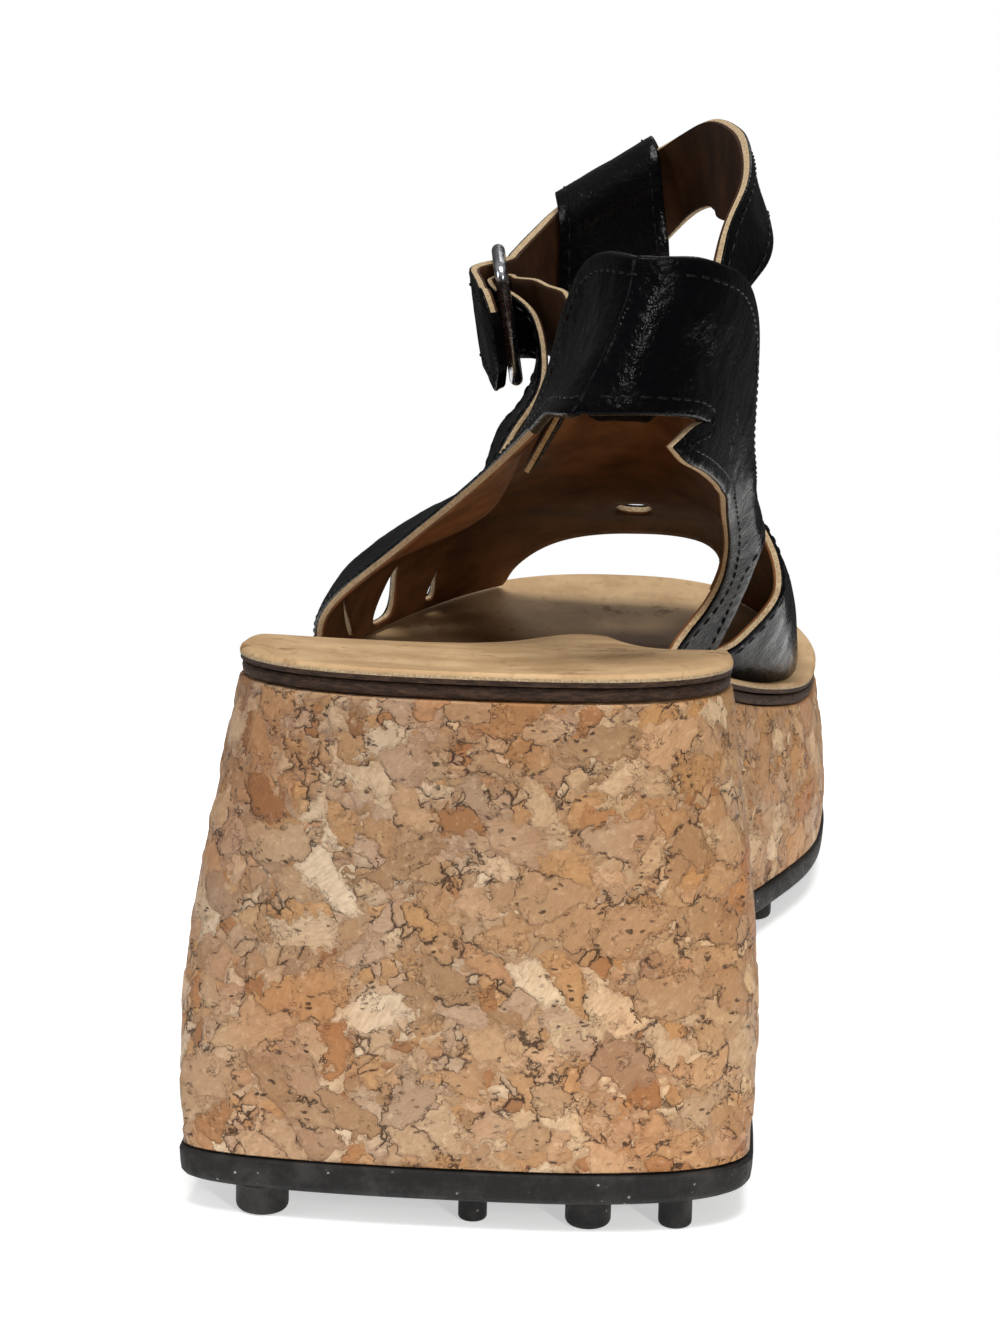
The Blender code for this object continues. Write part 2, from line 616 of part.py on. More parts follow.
def through(points, spans):
    """Smooth curve through points, with some spans between each two."""
    points = np.array(points, float)
    steps = np.linalg.norm(np.diff(points, axis=0), axis=1)
    run = np.concatenate([[0], np.cumsum(steps)])
    read = np.concatenate([run[i] + steps[i] * np.arange(spans) / spans for i in range(len(steps))] + [run[-1:]])
    return np.stack([smooth(run, points[:, axis], read) for axis in range(3)], -1)


def ribbon(name, edges, thick, finish, collection, spans=2):
    """Strap of even thickness through matching points of its edges and the lines between."""
    grid = np.stack([through(edge, spans) for edge in edges], 1)
    columns = len(edges) - 1
    along = np.gradient(grid, axis=0)
    across = np.gradient(grid, axis=1)
    normal = np.cross(along, across)
    normal = normal / np.linalg.norm(normal, axis=-1, keepdims=True)
    bm = bmesh.new()
    sheets = [[[bm.verts.new(p) for p in row] for row in grid + normal * thick / 2 * side] for side in (1, -1)]
    last_row, last_column = len(grid) - 1, columns
    for sheet in sheets:
        for i in range(last_row):
            for j in range(last_column):
                bm.faces.new((sheet[i][j], sheet[i + 1][j], sheet[i + 1][j + 1], sheet[i][j + 1]))
    rim = [(i, 0) for i in range(last_row)] + [(last_row, j) for j in range(last_column)]
    rim += [(i, last_column) for i in range(last_row, 0, -1)] + [(0, j) for j in range(last_column, 0, -1)]
    for (i, j), (k, m) in zip(rim, rim[1:] + rim[:1]):
        bm.faces.new((sheets[0][i][j], sheets[0][k][m], sheets[1][k][m], sheets[1][i][j]))
    return add_object(name, bm, finish, collection)


def rod(name, start, end, diameter, finish, collection, sides=10):
    """Round bar from start to end."""
    start, end = Vector(start), Vector(end)
    bm = bmesh.new()
    bmesh.ops.create_cone(bm, cap_ends=True, segments=sides, radius1=diameter / 2, radius2=diameter / 2,
                          depth=(end - start).length)
    turn = Vector((0, 0, 1)).rotation_difference(end - start)
    bmesh.ops.rotate(bm, verts=bm.verts, matrix=turn.to_matrix(), cent=(0, 0, 0))
    bmesh.ops.translate(bm, verts=bm.verts, vec=(start + end) / 2)
    return add_object(name, bm, finish, collection)


def prong_ends(extra=0.0):
    """The prong's two ends, from the buckle's middle bar to over its front bar."""
    reach = BUCKLE_LENGTH / 2
    rest = WIRE_DIAMETER / 2 + GAP
    start = buckle_place(rest, 0, 0.04 * reach)
    end = buckle_place(1.32 * reach, 0, 0.48 * reach)
    beyond = (end - start) / np.linalg.norm(end - start) * extra
    return start - beyond, end + beyond


def make_ankle_strap(finish, collection):
    """Strap from inside the heel strap, through the loop, to its free end past the buckle."""
    share = np.array([BALL_WIDTH / 2, SOLE_LENGTH / 2, HEEL_HEIGHT])
    inside = UPPER_WALL + 2 * GAP + STRAP_THICK / 2
    first = [skin(row[0], row[1], inside) for row in SEWN_START]
    second = [skin(row[2], row[3], inside) for row in SEWN_START]
    for row in STRAP_EDGES:
        first.append(np.array(row[:3]) * share)
        second.append(np.array(row[3:]) * share)
    reach = BUCKLE_LENGTH / 2
    for ahead, out in WEAVE:
        first.append(buckle_place(ahead * reach, -STRAP_WIDTH / 2, out * reach))
        second.append(buckle_place(ahead * reach, STRAP_WIDTH / 2, out * reach))
    first[-1] = buckle_place(WEAVE[-1][0] * reach, -0.24 * STRAP_WIDTH, WEAVE[-1][1] * reach)
    second[-1] = buckle_place(WEAVE[-1][0] * reach, 0.24 * STRAP_WIDTH, WEAVE[-1][1] * reach)
    middle = [(a + b) / 2 for a, b in zip(first, second)]
    strap = ribbon("ankle_strap", (first, middle, second), STRAP_THICK, finish, collection)
    start, end = prong_ends(extra=MM)
    hole = rod("strap_hole", start, end, STRAP_HOLE, finish, collection)
    boolean(strap, hole, "DIFFERENCE")
    return strap


def make_strap_loop(finish, collection):
    """Folded tab at the top of the instep strap that holds the ankle strap."""
    outside = -(GAP + LOOP_THICK / 2)
    inside = UPPER_WALL + GAP + LOOP_THICK / 2
    share = np.array([BALL_WIDTH / 2, SOLE_LENGTH / 2, HEEL_HEIGHT])
    clear = STRAP_THICK / 2 + 4.8 * GAP + LOOP_THICK / 2
    ends = []
    for row in (STRAP_EDGES[7], STRAP_EDGES[9]):
        top, low = np.array(row[:3]) * share, np.array(row[3:]) * share
        ends.append((top, (low - top) / np.linalg.norm(low - top)))
    front = np.array([0, 1, 0])
    edges = []
    for mix in (0, 0.25, 0.5, 0.75, 1):
        side = 2 * mix - 1
        around = LOOP_WIDTH / 2 * side / INSTEP_SPREAD
        top = ends[0][0] * (1 - mix) + ends[1][0] * mix
        down = ends[0][1] * (1 - mix) + ends[1][1] * mix
        fall = np.array([0.075 - 0.055 * side, 0, -1]) * STRAP_WIDTH
        edge = [skin(around, INSTEP_TOP - lower, outside - 2.4 * GAP) for lower in (0.19, 0.135, 0.08)]
        edge += [skin(around, INSTEP_TOP, outside - 1.6 * GAP)]
        edge += [top + front * (clear + 2 * GAP) + fall * share_down for share_down in (0.75, 0.45, 0.06)]
        edge += [top - down * (5 * GAP + LOOP_THICK / 2)]
        edge += [top - front * clear + fall * share_down for share_down in (0.06, 0.45, 0.75, 1.05)]
        edge += [skin(around * taper, INSTEP_TOP - lower, inside + 4.5 * GAP)
                 for lower, taper in ((0.045, 1), (0.075, 1), (0.105, 0.95), (0.125, 0.8), (0.138, 0.5))]
        edges.append(edge)
    return ribbon("strap_loop", edges, LOOP_THICK, finish, collection)


def make_buckle_frame(finish, collection):
    """Flat wire frame with a middle bar."""
    reach = BUCKLE_LENGTH / 2
    half = STRAP_WIDTH / 2 + 2 * GAP + WIRE_DIAMETER / 2
    corner = 1.6 * MM
    path = []
    for side_ahead, side_down in ((1, 1), (1, -1), (-1, -1), (-1, 1)):
        for turn in (0, 1, 2):
            angle = math.radians(45 * turn)
            over, beside = math.sin(angle), math.cos(angle)
            if side_ahead * side_down < 0:
                over, beside = beside, over
            ahead = side_ahead * (reach - corner + corner * over)
            path.append((ahead, side_down * (half - corner + corner * beside)))
    sides = 8
    bm = bmesh.new()
    rows = []
    count = len(path)
    for i in range(count):
        before, after = np.array(path[i - 1]), np.array(path[(i + 1) % count])
        run = (after - before) / np.linalg.norm(after - before)
        outward = np.array([run[1], -run[0]])
        row = []
        for k in range(sides):
            angle = 2 * math.pi * (k + 0.5) / sides
            flat = np.array(path[i]) + outward * WIRE_DIAMETER / 2 * math.cos(angle)
            row.append(bm.verts.new(buckle_place(flat[0], flat[1], WIRE_DIAMETER / 2 * math.sin(angle))))
        rows.append(row)
    for low, high in zip(rows, rows[1:] + rows[:1]):
        for i in range(sides):
            j = (i + 1) % sides
            bm.faces.new((low[i], low[j], high[j], high[i]))
    frame = add_object("buckle_frame", bm, finish, collection)
    top, low = buckle_place(0, -half, 0), buckle_place(0, half, 0)
    bar = rod("middle_bar", top, low, WIRE_DIAMETER * 0.97, finish, collection)
    boolean(frame, bar, "UNION")
    return frame


def make_buckle_prong(finish, collection):
    """Prong from the middle bar through the strap to the front bar."""
    start, end = prong_ends()
    return rod("buckle_prong", start, end, PRONG_DIAMETER, finish, collection)


def make_buckle_tab(finish, collection):
    """Tab folded around the middle bar: one limb inside the heel strap and one on the quarter."""
    outside = -(GAP + TAB_THICK / 2)
    inside = UPPER_WALL + GAP + TAB_THICK / 2
    wrap = WIRE_DIAMETER / 2 + GAP + TAB_THICK / 2
    half = TAB_WIDTH / 2
    reach = BUCKLE_LENGTH / 2
    base = [(up, outside - lift) for up, lift in ((0.545, GAP), (0.585, GAP), (0.625, 1.5 * GAP))]
    first = [skin(0.455, up, depth) for up, depth in base]
    second = [skin(0.37, up, depth) for up, depth in base]
    share = np.array([BALL_WIDTH / 2, SOLE_LENGTH / 2, HEEL_HEIGHT])
    first += [np.array(row[:3]) * share for row in TAB_EDGES]
    second += [np.array(row[3:]) * share for row in TAB_EDGES]
    first.append(buckle_place(-1.20 * reach, -0.2 * half, -0.62 * reach))
    second.append(buckle_place(-1.20 * reach, half, -0.62 * reach))
    for ahead, out in ((-0.62 * reach, -0.12 * reach), (-0.3 * reach, 0.55 * wrap)):
        first.append(buckle_place(ahead, -0.8 * half, out))
        second.append(buckle_place(ahead, half, out))
    for turn in (100, 60, 20, -20, -60, -100):
        angle = math.radians(turn)
        first.append(buckle_place(wrap * math.cos(angle), -half, wrap * math.sin(angle)))
        second.append(buckle_place(wrap * math.cos(angle), half, wrap * math.sin(angle)))
    for ahead, out in ((-0.5 * reach, -0.72 * reach), (-1.2 * reach, -1.0 * reach), (-2.0 * reach, -1.35 * reach)):
        first.append(buckle_place(ahead, -half, out))
        second.append(buckle_place(ahead, half, out))
    first += [skin(0.60, 0.635, inside + 1.2 * MM), skin(0.66, 0.68, inside + GAP)]
    second += [skin(0.585, 0.53, inside + 1.8 * MM), skin(0.65, 0.57, inside + GAP)]
    middle = [(a + b) / 2 for a, b in zip(first, second)]
    middle[:3] = [skin(0.4125, up, depth) for up, depth in base]
    middle[-1] = skin(0.655, 0.625, inside + GAP)
    tab = ribbon("buckle_tab", (first, middle, second), TAB_THICK, finish, collection)
    start, end = prong_ends(extra=MM)
    hole = rod("tab_hole", start, end, STRAP_HOLE, finish, collection)
    boolean(tab, hole, "DIFFERENCE")
    return tab


def centre(collection):
    """Move the whole sandal so that its box stands centred on the origin."""
    corners = np.array([v.co for made in collection.objects for v in made.data.vertices])
    low, high = corners.min(0), corners.max(0)
    shift = Matrix.Translation((-(low[0] + high[0]) / 2, -(low[1] + high[1]) / 2, -low[2]))
    for made in collection.objects:
        made.data.transform(shift)


def main():
    for old in list(bpy.data.objects):
        bpy.data.objects.remove(old)
    collection = bpy.data.collections.new("platform_sandal")
    bpy.context.scene.collection.children.link(collection)
    rubber = material("rubber", (0.025, 0.022, 0.02), 0.75)
    cork = material("cork", (0.52, 0.33, 0.18), 0.6)
    dark = material("dark_leather", (0.05, 0.03, 0.02), 0.7)
    tan = material("tan_leather", (0.55, 0.38, 0.22), 0.65)
    black = material("black_leather", (0.012, 0.012, 0.014), 0.35)
    steel = material("polished_steel", (0.62, 0.62, 0.65), 0.25, 1.0)
    make_outsole(rubber, collection)
    make_wedge(cork, collection)
    make_rand(dark, collection)
    make_insole(tan, collection)
    make_upper(black, collection)
    make_ankle_strap(black, collection)
    make_strap_loop(black, collection)
    make_buckle_frame(steel, collection)
    make_buckle_prong(steel, collection)
    make_buckle_tab(black, collection)
    centre(collection)


main()
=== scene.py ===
"""Looks of the platform sandal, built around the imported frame. Metres, +Z up, +Y to the toe."""
import json
import math

import bmesh
import bpy
import numpy as np
from mathutils import Matrix, Vector, kdtree, noise
from mathutils.geometry import delaunay_2d_cdt

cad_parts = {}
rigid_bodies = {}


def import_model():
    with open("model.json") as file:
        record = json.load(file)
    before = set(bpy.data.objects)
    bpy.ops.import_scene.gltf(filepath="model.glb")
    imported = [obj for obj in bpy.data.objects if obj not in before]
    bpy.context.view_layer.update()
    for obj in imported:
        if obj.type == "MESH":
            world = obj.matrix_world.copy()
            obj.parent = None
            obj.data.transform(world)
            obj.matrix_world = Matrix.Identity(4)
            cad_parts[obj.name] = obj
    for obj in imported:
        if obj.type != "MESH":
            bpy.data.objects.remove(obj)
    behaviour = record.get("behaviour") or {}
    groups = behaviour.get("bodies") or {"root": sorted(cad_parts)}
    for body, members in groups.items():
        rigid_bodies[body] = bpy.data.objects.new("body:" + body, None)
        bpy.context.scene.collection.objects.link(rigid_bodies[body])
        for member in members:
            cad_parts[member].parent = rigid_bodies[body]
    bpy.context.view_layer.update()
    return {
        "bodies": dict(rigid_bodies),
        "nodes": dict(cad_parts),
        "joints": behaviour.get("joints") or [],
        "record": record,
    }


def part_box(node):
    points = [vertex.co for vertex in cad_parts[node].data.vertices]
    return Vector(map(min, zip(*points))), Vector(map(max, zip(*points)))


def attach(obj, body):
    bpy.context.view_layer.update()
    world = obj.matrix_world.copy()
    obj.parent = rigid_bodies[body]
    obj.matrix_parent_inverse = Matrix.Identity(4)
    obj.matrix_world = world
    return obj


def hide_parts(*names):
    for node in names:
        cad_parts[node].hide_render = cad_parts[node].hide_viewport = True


MM = 0.001
GAP = 0.3 * MM

# Sole sizes, as in the part's source
SOLE_LENGTH = 255 * MM
BALL_WIDTH = 92 * MM
HEEL_HEIGHT = 80 * MM
BALL_HEIGHT = 40 * MM
HEEL_ROUND_TOP = 27 * MM
HEEL_ROUND_LATERAL = 7 * MM
HEEL_ROUND_MEDIAL = 15 * MM
TOE_ROUND = 62 * MM
TOE_SPRING = 7 * MM
FLARE_LATERAL = 5.8 * MM
FLARE_MEDIAL = 5.0 * MM
BULGE_LATERAL = 1.7 * MM
BULGE_MEDIAL = 1.0 * MM
INSOLE_THICK = 1.8 * MM
HEEL_CUP = 1.6 * MM
ARCH_BUMP = 3.2 * MM
RAND_THICK = 1.8 * MM
RAND_INSET = 0.4 * MM
OUTSOLE_THICK = 4.6 * MM
OUTSOLE_LIP = 0.5 * MM
STUD_HEIGHT = 4.3 * MM
STUD_DIAMETER = 6.8 * MM
STUD_ROUND = 1.1 * MM
STUD_MARGIN = 6.0 * MM

# Upper, straps and buckle, as in the part's source
UPPER_WALL = 1.8 * MM
UPPER_INSET = 3.4 * MM
INSTEP_RISE = 98 * MM
HEEL_RISE = 58 * MM
SIDE_RISE = 70 * MM
HEEL_STRAP_LIFT = 31 * MM
HEEL_STRAP_WIDTH = 22.5 * MM
VENT_DIAMETER = 7.5 * MM
STRAP_WIDTH = 15.5 * MM
STRAP_THICK = 1.8 * MM
LOOP_WIDTH = 19 * MM
LOOP_THICK = 1.4 * MM
TAB_WIDTH = 12 * MM
TAB_THICK = 1.4 * MM
WIRE_DIAMETER = 2.2 * MM
PRONG_DIAMETER = 1.7 * MM
BUCKLE_LENGTH = 14.4 * MM

# Sole sections from heel (-1) to toe (+1): widths and centre are shares of the ball's half
# width, and height is the share of the drop from heel to ball.
SECTION_COLUMNS = ("along", "lateral", "medial", "centre", "height")
SECTIONS = (
    (-1.00, 0.775, 0.74, 0.00, 1.000),
    (-0.75, 0.785, 0.73, 0.00, 0.920),
    (-0.50, 0.80, 0.68, 0.00, 0.760),
    (-0.25, 0.835, 0.60, 0.00, 0.565),
    (0.00, 0.89, 0.58, 0.00, 0.340),
    (0.20, 0.97, 0.80, 0.00, 0.140),
    (0.40, 1.00, 0.98, 0.00, 0.020),
    (0.60, 0.98, 1.00, 0.03, 0.000),
    (0.80, 0.93, 0.93, 0.10, 0.030),
    (1.00, 0.86, 0.84, 0.17, 0.100),
)

# Level loops of the leather, from the footbed edge (up 0) to the top of the ankle (up 1)
LEVEL_COLUMNS = ("up", "front_y", "front_rise", "front_x", "back_y", "back_rise", "back_x",
                 "lateral_x", "medial_x", "side_rise", "keep", "lateral_skew", "medial_skew")
LEVELS = (
    (0.0, 1.00, 0.00, 0.17, -1.00, 0.00, 0.00, -1.00, 0.95, 0.00, 1.00, 0.2, 0.2),
    (0.2, 0.80, 0.16, 0.26, -0.99, 0.22, 0.08, -0.875, 0.92, 0.18, 0.80, 0.43, 0.2),
    (0.4, 0.55, 0.29, 0.28, -0.96, 0.44, 0.19, -0.50, 0.88, 0.38, 0.45, 0.88, 0.2),
    (0.6, 0.31, 0.46, 0.27, -0.93, 0.66, 0.31, -0.10, 0.82, 0.58, 0.15, 0.84, 0.1),
    (0.8, 0.14, 0.70, 0.24, -0.91, 0.84, 0.40, -0.08, 0.79, 0.79, 0.05, 0.8, 0.0),
    (1.0, 0.10, 1.00, 0.24, -0.90, 1.00, 0.44, -0.08, 0.79, 1.00, 0.00, 0.6, 0.0),
)

# Heights of the heel strap's edges and of the instep strap's top, as shares of the leather
STRAP_LOW = HEEL_STRAP_LIFT / HEEL_RISE
STRAP_HIGH = (HEEL_STRAP_LIFT + HEEL_STRAP_WIDTH) / HEEL_RISE
INSTEP_TOP = 0.78
INSTEP_SPREAD = 105 * MM

# Outline of the upper on the leather: (around, up, corner)
LATERAL_EDGE = (
    (0.115, 0.00, 1), (0.425, 0.00, 1), (0.425, 0.10, 0), (0.43, 0.20, 0), (0.445, 0.30, 0),
    (0.475, 0.38, 0), (0.53, 0.44, 0), (0.61, 0.485, 0), (0.72, STRAP_LOW - 0.02, 0),
    (0.86, STRAP_LOW - 0.005, 0), (1.0, STRAP_LOW, 1), (1.0, STRAP_HIGH, 1),
    (0.90, STRAP_HIGH - 0.01, 0), (0.80, STRAP_HIGH - 0.04, 0), (0.725, STRAP_HIGH - 0.075, 0),
    (0.67, 0.775, 0), (0.625, 0.685, 0), (0.57, 0.635, 0), (0.50, 0.615, 0), (0.42, 0.62, 0),
    (0.34, 0.635, 0), (0.25, 0.64, 0), (0.175, 0.665, 0), (0.13, 0.70, 0), (0.105, 0.74, 0),
    (0.098, INSTEP_TOP, 1),
)
MEDIAL_EDGE = (
    (-0.100, INSTEP_TOP, 1), (-0.104, 0.745, 0), (-0.12, 0.71, 0), (-0.16, 0.675, 0),
    (-0.22, 0.655, 0), (-0.32, 0.665, 0), (-0.42, 0.70, 0), (-0.54, 0.745, 0),
    (-0.68, STRAP_HIGH - 0.12, 0), (-0.80, STRAP_HIGH - 0.07, 0), (-0.90, STRAP_HIGH - 0.015, 0),
    (-1.0, STRAP_HIGH, 1), (-1.0, STRAP_LOW, 1), (-0.92, STRAP_LOW, 0),
    (-0.84, STRAP_LOW - 0.01, 0), (-0.785, STRAP_LOW - 0.028, 1), (-0.83, STRAP_LOW - 0.04, 0),
    (-0.872, STRAP_LOW - 0.075, 1), (-0.83, STRAP_LOW - 0.115, 0), (-0.74, STRAP_LOW - 0.14, 0),
    (-0.64, STRAP_LOW - 0.125, 0), (-0.56, 0.44, 0), (-0.50, 0.42, 0), (-0.478, 0.33, 0),
    (-0.478, 0.22, 0), (-0.492, 0.11, 0), (-0.512, 0.00, 1), (-0.100, 0.00, 1),
    (-0.103, 0.07, 0), (-0.104, 0.135, 0), (-0.080, 0.175, 0), (-0.03, 0.185, 0),
    (0.02, 0.178, 0), (0.062, 0.145, 0), (0.096, 0.08, 0),
)
MEDIAL_WINDOW = (
    (-0.468, 0.045, 1), (-0.460, 0.12, 0), (-0.452, 0.22, 0), (-0.447, 0.32, 0),
    (-0.438, 0.41, 0), (-0.41, 0.49, 0), (-0.36, 0.55, 0), (-0.30, 0.575, 0),
    (-0.235, 0.575, 0), (-0.195, 0.535, 1), (-0.25, 0.475, 0), (-0.305, 0.425, 0),
    (-0.352, 0.36, 0), (-0.390, 0.28, 0), (-0.418, 0.20, 0), (-0.442, 0.12, 0),
)
# Slits: around at the foot, around at the tip, up at the foot, up at the tip, width at the foot
SLITS = (
    (0.312, 0.312, 0.035, 0.25, 0.013),
    (0.262, 0.222, 0.022, 0.21, 0.030),
    (0.198, 0.178, 0.030, 0.14, 0.012),
    (-0.305, -0.285, 0.060, 0.26, 0.008),
)

# The ankle strap's edges, as shares of half the ball's width, half the length and heel height
STRAP_EDGES = (
    (0.635, -0.722, 1.620, 0.700, -0.620, 1.570), (0.663, -0.675, 1.698, 0.780, -0.569, 1.636),
    (0.713, -0.580, 1.770, 0.776, -0.471, 1.685), (0.704, -0.439, 1.815, 0.748, -0.369, 1.665),
    (0.650, -0.259, 1.829, 0.635, -0.227, 1.650), (0.567, -0.078, 1.817, 0.610, -0.122, 1.651),
    (0.470, 0.039, 1.776, 0.565, 0.000, 1.640), (0.374, 0.086, 1.735, 0.490, 0.078, 1.605),
    (0.196, 0.092, 1.675, 0.335, 0.092, 1.512), (0.026, 0.092, 1.610, 0.135, 0.096, 1.433),
    (-0.050, 0.050, 1.568, 0.020, 0.090, 1.395),
)
SEWN_START = ((-0.805, 0.58, -0.70, 0.55), (-0.80, 0.72, -0.69, 0.66))
TAB_EDGES = (
    (-0.070, -0.208, 1.212, -0.135, -0.106, 1.188), (0.017, -0.176, 1.300, -0.065, -0.086, 1.238),
)
BUCKLE_CENTRE = (-0.1326, -0.0620, 1.415)
BUCKLE_AHEAD = (-0.11, 0.98, 0.135)
BUCKLE_DOWN = (0.146, 0.153, -0.979)
WEAVE = (
    (1.00, -0.35), (0.72, -0.27), (0.575, -0.03), (0.54, 0.25), (0.45, 0.46), (0.25, 0.58),
    (0.00, 0.60), (-0.42, 0.56), (-1.00, 0.50), (-1.55, 0.46), (-2.00, 0.38), (-2.40, 0.26),
)
SHARE = np.array([BALL_WIDTH / 2, SOLE_LENGTH / 2, HEEL_HEIGHT])

# Studs of the outsole: place along, place across, size share
STUDS = (
    (-1.0, -0.84, 1.1), (-1.0, 0.52, 0.95), (-0.99, 0.88, 0.7), (-1.0, 0.04, 0.6),
    (-0.72, -0.98, 1.0), (-0.72, 0.98, 1.0), (-0.70, 0.0, 1.0),
    (-0.46, -0.98, 1.0), (-0.46, 0.98, 1.0),
    (0.08, -0.98, 1.0), (0.08, 0.98, 1.0), (0.14, 0.0, 1.0),
    (0.30, -0.98, 1.0), (0.30, 0.98, 1.0), (0.38, -0.45, 0.7), (0.38, 0.45, 0.7),
    (0.52, -0.98, 1.0), (0.52, 0.98, 1.0), (0.58, 0.0, 1.0),
    (0.76, -0.95, 1.0), (0.76, 0.95, 1.0), (0.92, 0.0, 1.0),
)


def smooth(xs, ys, x):
    """Smooth curve through (xs, ys), read at x."""
    x = np.clip(np.asarray(x, float), xs[0], xs[-1])
    slope = np.diff(ys) / np.diff(xs)
    tangent = np.concatenate([slope[:1], (slope[:-1] + slope[1:]) / 2, slope[-1:]])
    i = np.clip(np.searchsorted(xs, x, side="right") - 1, 0, len(xs) - 2)
    h = xs[i + 1] - xs[i]
    s = (x - xs[i]) / h
    start = (2 * s**3 - 3 * s**2 + 1) * ys[i] + (s**3 - 2 * s**2 + s) * h * tangent[i]
    end = (3 * s**2 - 2 * s**3) * ys[i + 1] + (s**3 - s**2) * h * tangent[i + 1]
    return start + end


def read(table, names, key, name, x):
    """A named column of a table, read smoothly at x of its key column."""
    values = np.array(table, float)
    return smooth(values[:, names.index(key)], values[:, names.index(name)], x)


def section(name, along):
    """A column of the sole's sections, read at a place along the sole."""
    return read(SECTIONS, SECTION_COLUMNS, "along", name, along)


def level(name, up):
    """A column of the leather's level loops, read at a height share."""
    return read(LEVELS, LEVEL_COLUMNS, "up", name, up)


def end_rounding(along, heel_round):
    """Share of the full width that is left near the heel and the toe."""
    bluntness = 2.5
    back = np.clip((1 + along) * SOLE_LENGTH / 2 / heel_round, 0, 1)
    front = np.clip((1 - along) * SOLE_LENGTH / 2 / TOE_ROUND, 0, 1)
    heel = (1 - (1 - back)**bluntness)**(1 / bluntness)
    toe = (1 - (1 - front)**bluntness)**(1 / bluntness)
    return heel * toe


def footbed_height(along):
    """Height of the footbed's edge above the floor."""
    return BALL_HEIGHT + section("height", along) * (HEEL_HEIGHT - BALL_HEIGHT)


def ground_height(along):
    """Height of the outsole's underside, between the studs, with its toe spring."""
    start = 0.42
    rise = np.clip((along - start) / (1 - start), 0, 1)
    return STUD_HEIGHT + TOE_SPRING * rise**2


def sole_edge(along, side, drop=0.0, inset=0.0):
    """Point (x, y) on the sole's outline: side +1 medial, -1 lateral; drop 0 at the footbed."""
    bottom_round = HEEL_ROUND_MEDIAL if side > 0 else HEEL_ROUND_LATERAL
    heel_round = HEEL_ROUND_TOP + (bottom_round - HEEL_ROUND_TOP) * drop
    half = BALL_WIDTH / 2
    width = section("medial" if side > 0 else "lateral", along) * half
    stack = (footbed_height(along) - ground_height(along)) / HEEL_HEIGHT
    flare = (FLARE_MEDIAL if side > 0 else FLARE_LATERAL) * (1 - (1 - drop)**1.9)
    bulge = (BULGE_MEDIAL if side > 0 else BULGE_LATERAL) * math.sin(math.pi * drop**1.6)
    width = (width + (flare + bulge) * stack - inset) * end_rounding(along, heel_round)
    x = section("centre", along) * half + side * width
    y = along * (SOLE_LENGTH / 2 - inset)
    return x, y


def feather(around, inset):
    """Point on the footbed's edge: around 0 at the toe, +1 at the heel by the lateral side."""
    along = np.cos(np.pi * around)
    x_medial, y = sole_edge(along, 1, inset=inset)
    x_lateral, _ = sole_edge(along, -1, inset=inset)
    x = np.where(np.sin(np.pi * around) < 0, x_medial, x_lateral)
    return np.stack([x, y, footbed_height(along)], -1)


def level_loop(around, up):
    """Point (x, y) on a level loop, before the sole's outline is kept."""
    along = np.cos(np.pi * around)
    sideways = np.sin(np.pi * around)
    mix = (1 + along) / 2
    back_x, front_x = level("back_x", up), level("front_x", up)
    spine = back_x + (front_x - back_x) * mix
    middle = (back_x + front_x) / 2
    lateral = (level("lateral_x", up) - middle) * (1 + level("lateral_skew", up) * along)
    medial = (level("medial_x", up) - middle) * (1 + level("medial_skew", up) * along)
    offset = np.where(sideways >= 0, lateral, medial) * np.abs(sideways)**0.85
    back_y, front_y = level("back_y", up), level("front_y", up)
    return (spine + offset) * BALL_WIDTH / 2, (back_y + (front_y - back_y) * mix) * SOLE_LENGTH / 2


def leather(around, up):
    """Outer surface of the leather: around as in feather, up 0 at the footbed, 1 at the top."""
    around, up = np.broadcast_arrays(np.asarray(around, float), np.asarray(up, float))
    foot = feather(around, UPPER_INSET)
    x, y = level_loop(around, up)
    x_low, y_low = level_loop(around, np.zeros_like(up))
    keep = level("keep", up)
    along = np.cos(np.pi * around)
    rise = level("front_rise", up) * INSTEP_RISE * np.clip(along, 0, None)**2
    rise = rise + level("back_rise", up) * HEEL_RISE * np.clip(-along, 0, None)**2
    rise = rise + level("side_rise", up) * SIDE_RISE * np.sin(np.pi * around)**2
    z = foot[..., 2] + 1.5 * GAP + rise
    return np.stack([x + (foot[..., 0] - x_low) * keep, y + (foot[..., 1] - y_low) * keep, z], -1)


def leather_normal(around, up):
    """Unit normal of the leather, pointing towards the foot."""
    around, up = np.broadcast_arrays(np.asarray(around, float), np.asarray(up, float))
    step = 0.004
    across = leather(around + step, up) - leather(around - step, up)
    rising = leather(around, np.clip(up + step, 0, 1)) - leather(around, np.clip(up - step, 0, 1))
    normal = np.cross(across, rising)
    normal = -normal / np.linalg.norm(normal, axis=-1, keepdims=True)
    normal[..., 2] *= np.clip(up / 0.08, 0, 1)
    return normal / np.linalg.norm(normal, axis=-1, keepdims=True)


def skin(around, up, depth):
    """Point under the leather's outer surface, towards the foot by the given depth."""
    depth = np.asarray(depth, float)
    return leather(around, up) + leather_normal(around, up) * depth[..., None]


def buckle_axes():
    """Centre of the buckle and its directions ahead, down and out."""
    ahead = np.array(BUCKLE_AHEAD) / np.linalg.norm(BUCKLE_AHEAD)
    out = np.cross(ahead, BUCKLE_DOWN)
    out = out / np.linalg.norm(out)
    return np.array(BUCKLE_CENTRE) * SHARE, ahead, np.cross(out, ahead), out


def buckle_place(ahead, down, out):
    """Point given in metres along the buckle's directions."""
    centre, along, below, outward = buckle_axes()
    return centre + along * ahead + below * down + outward * out


# Materials


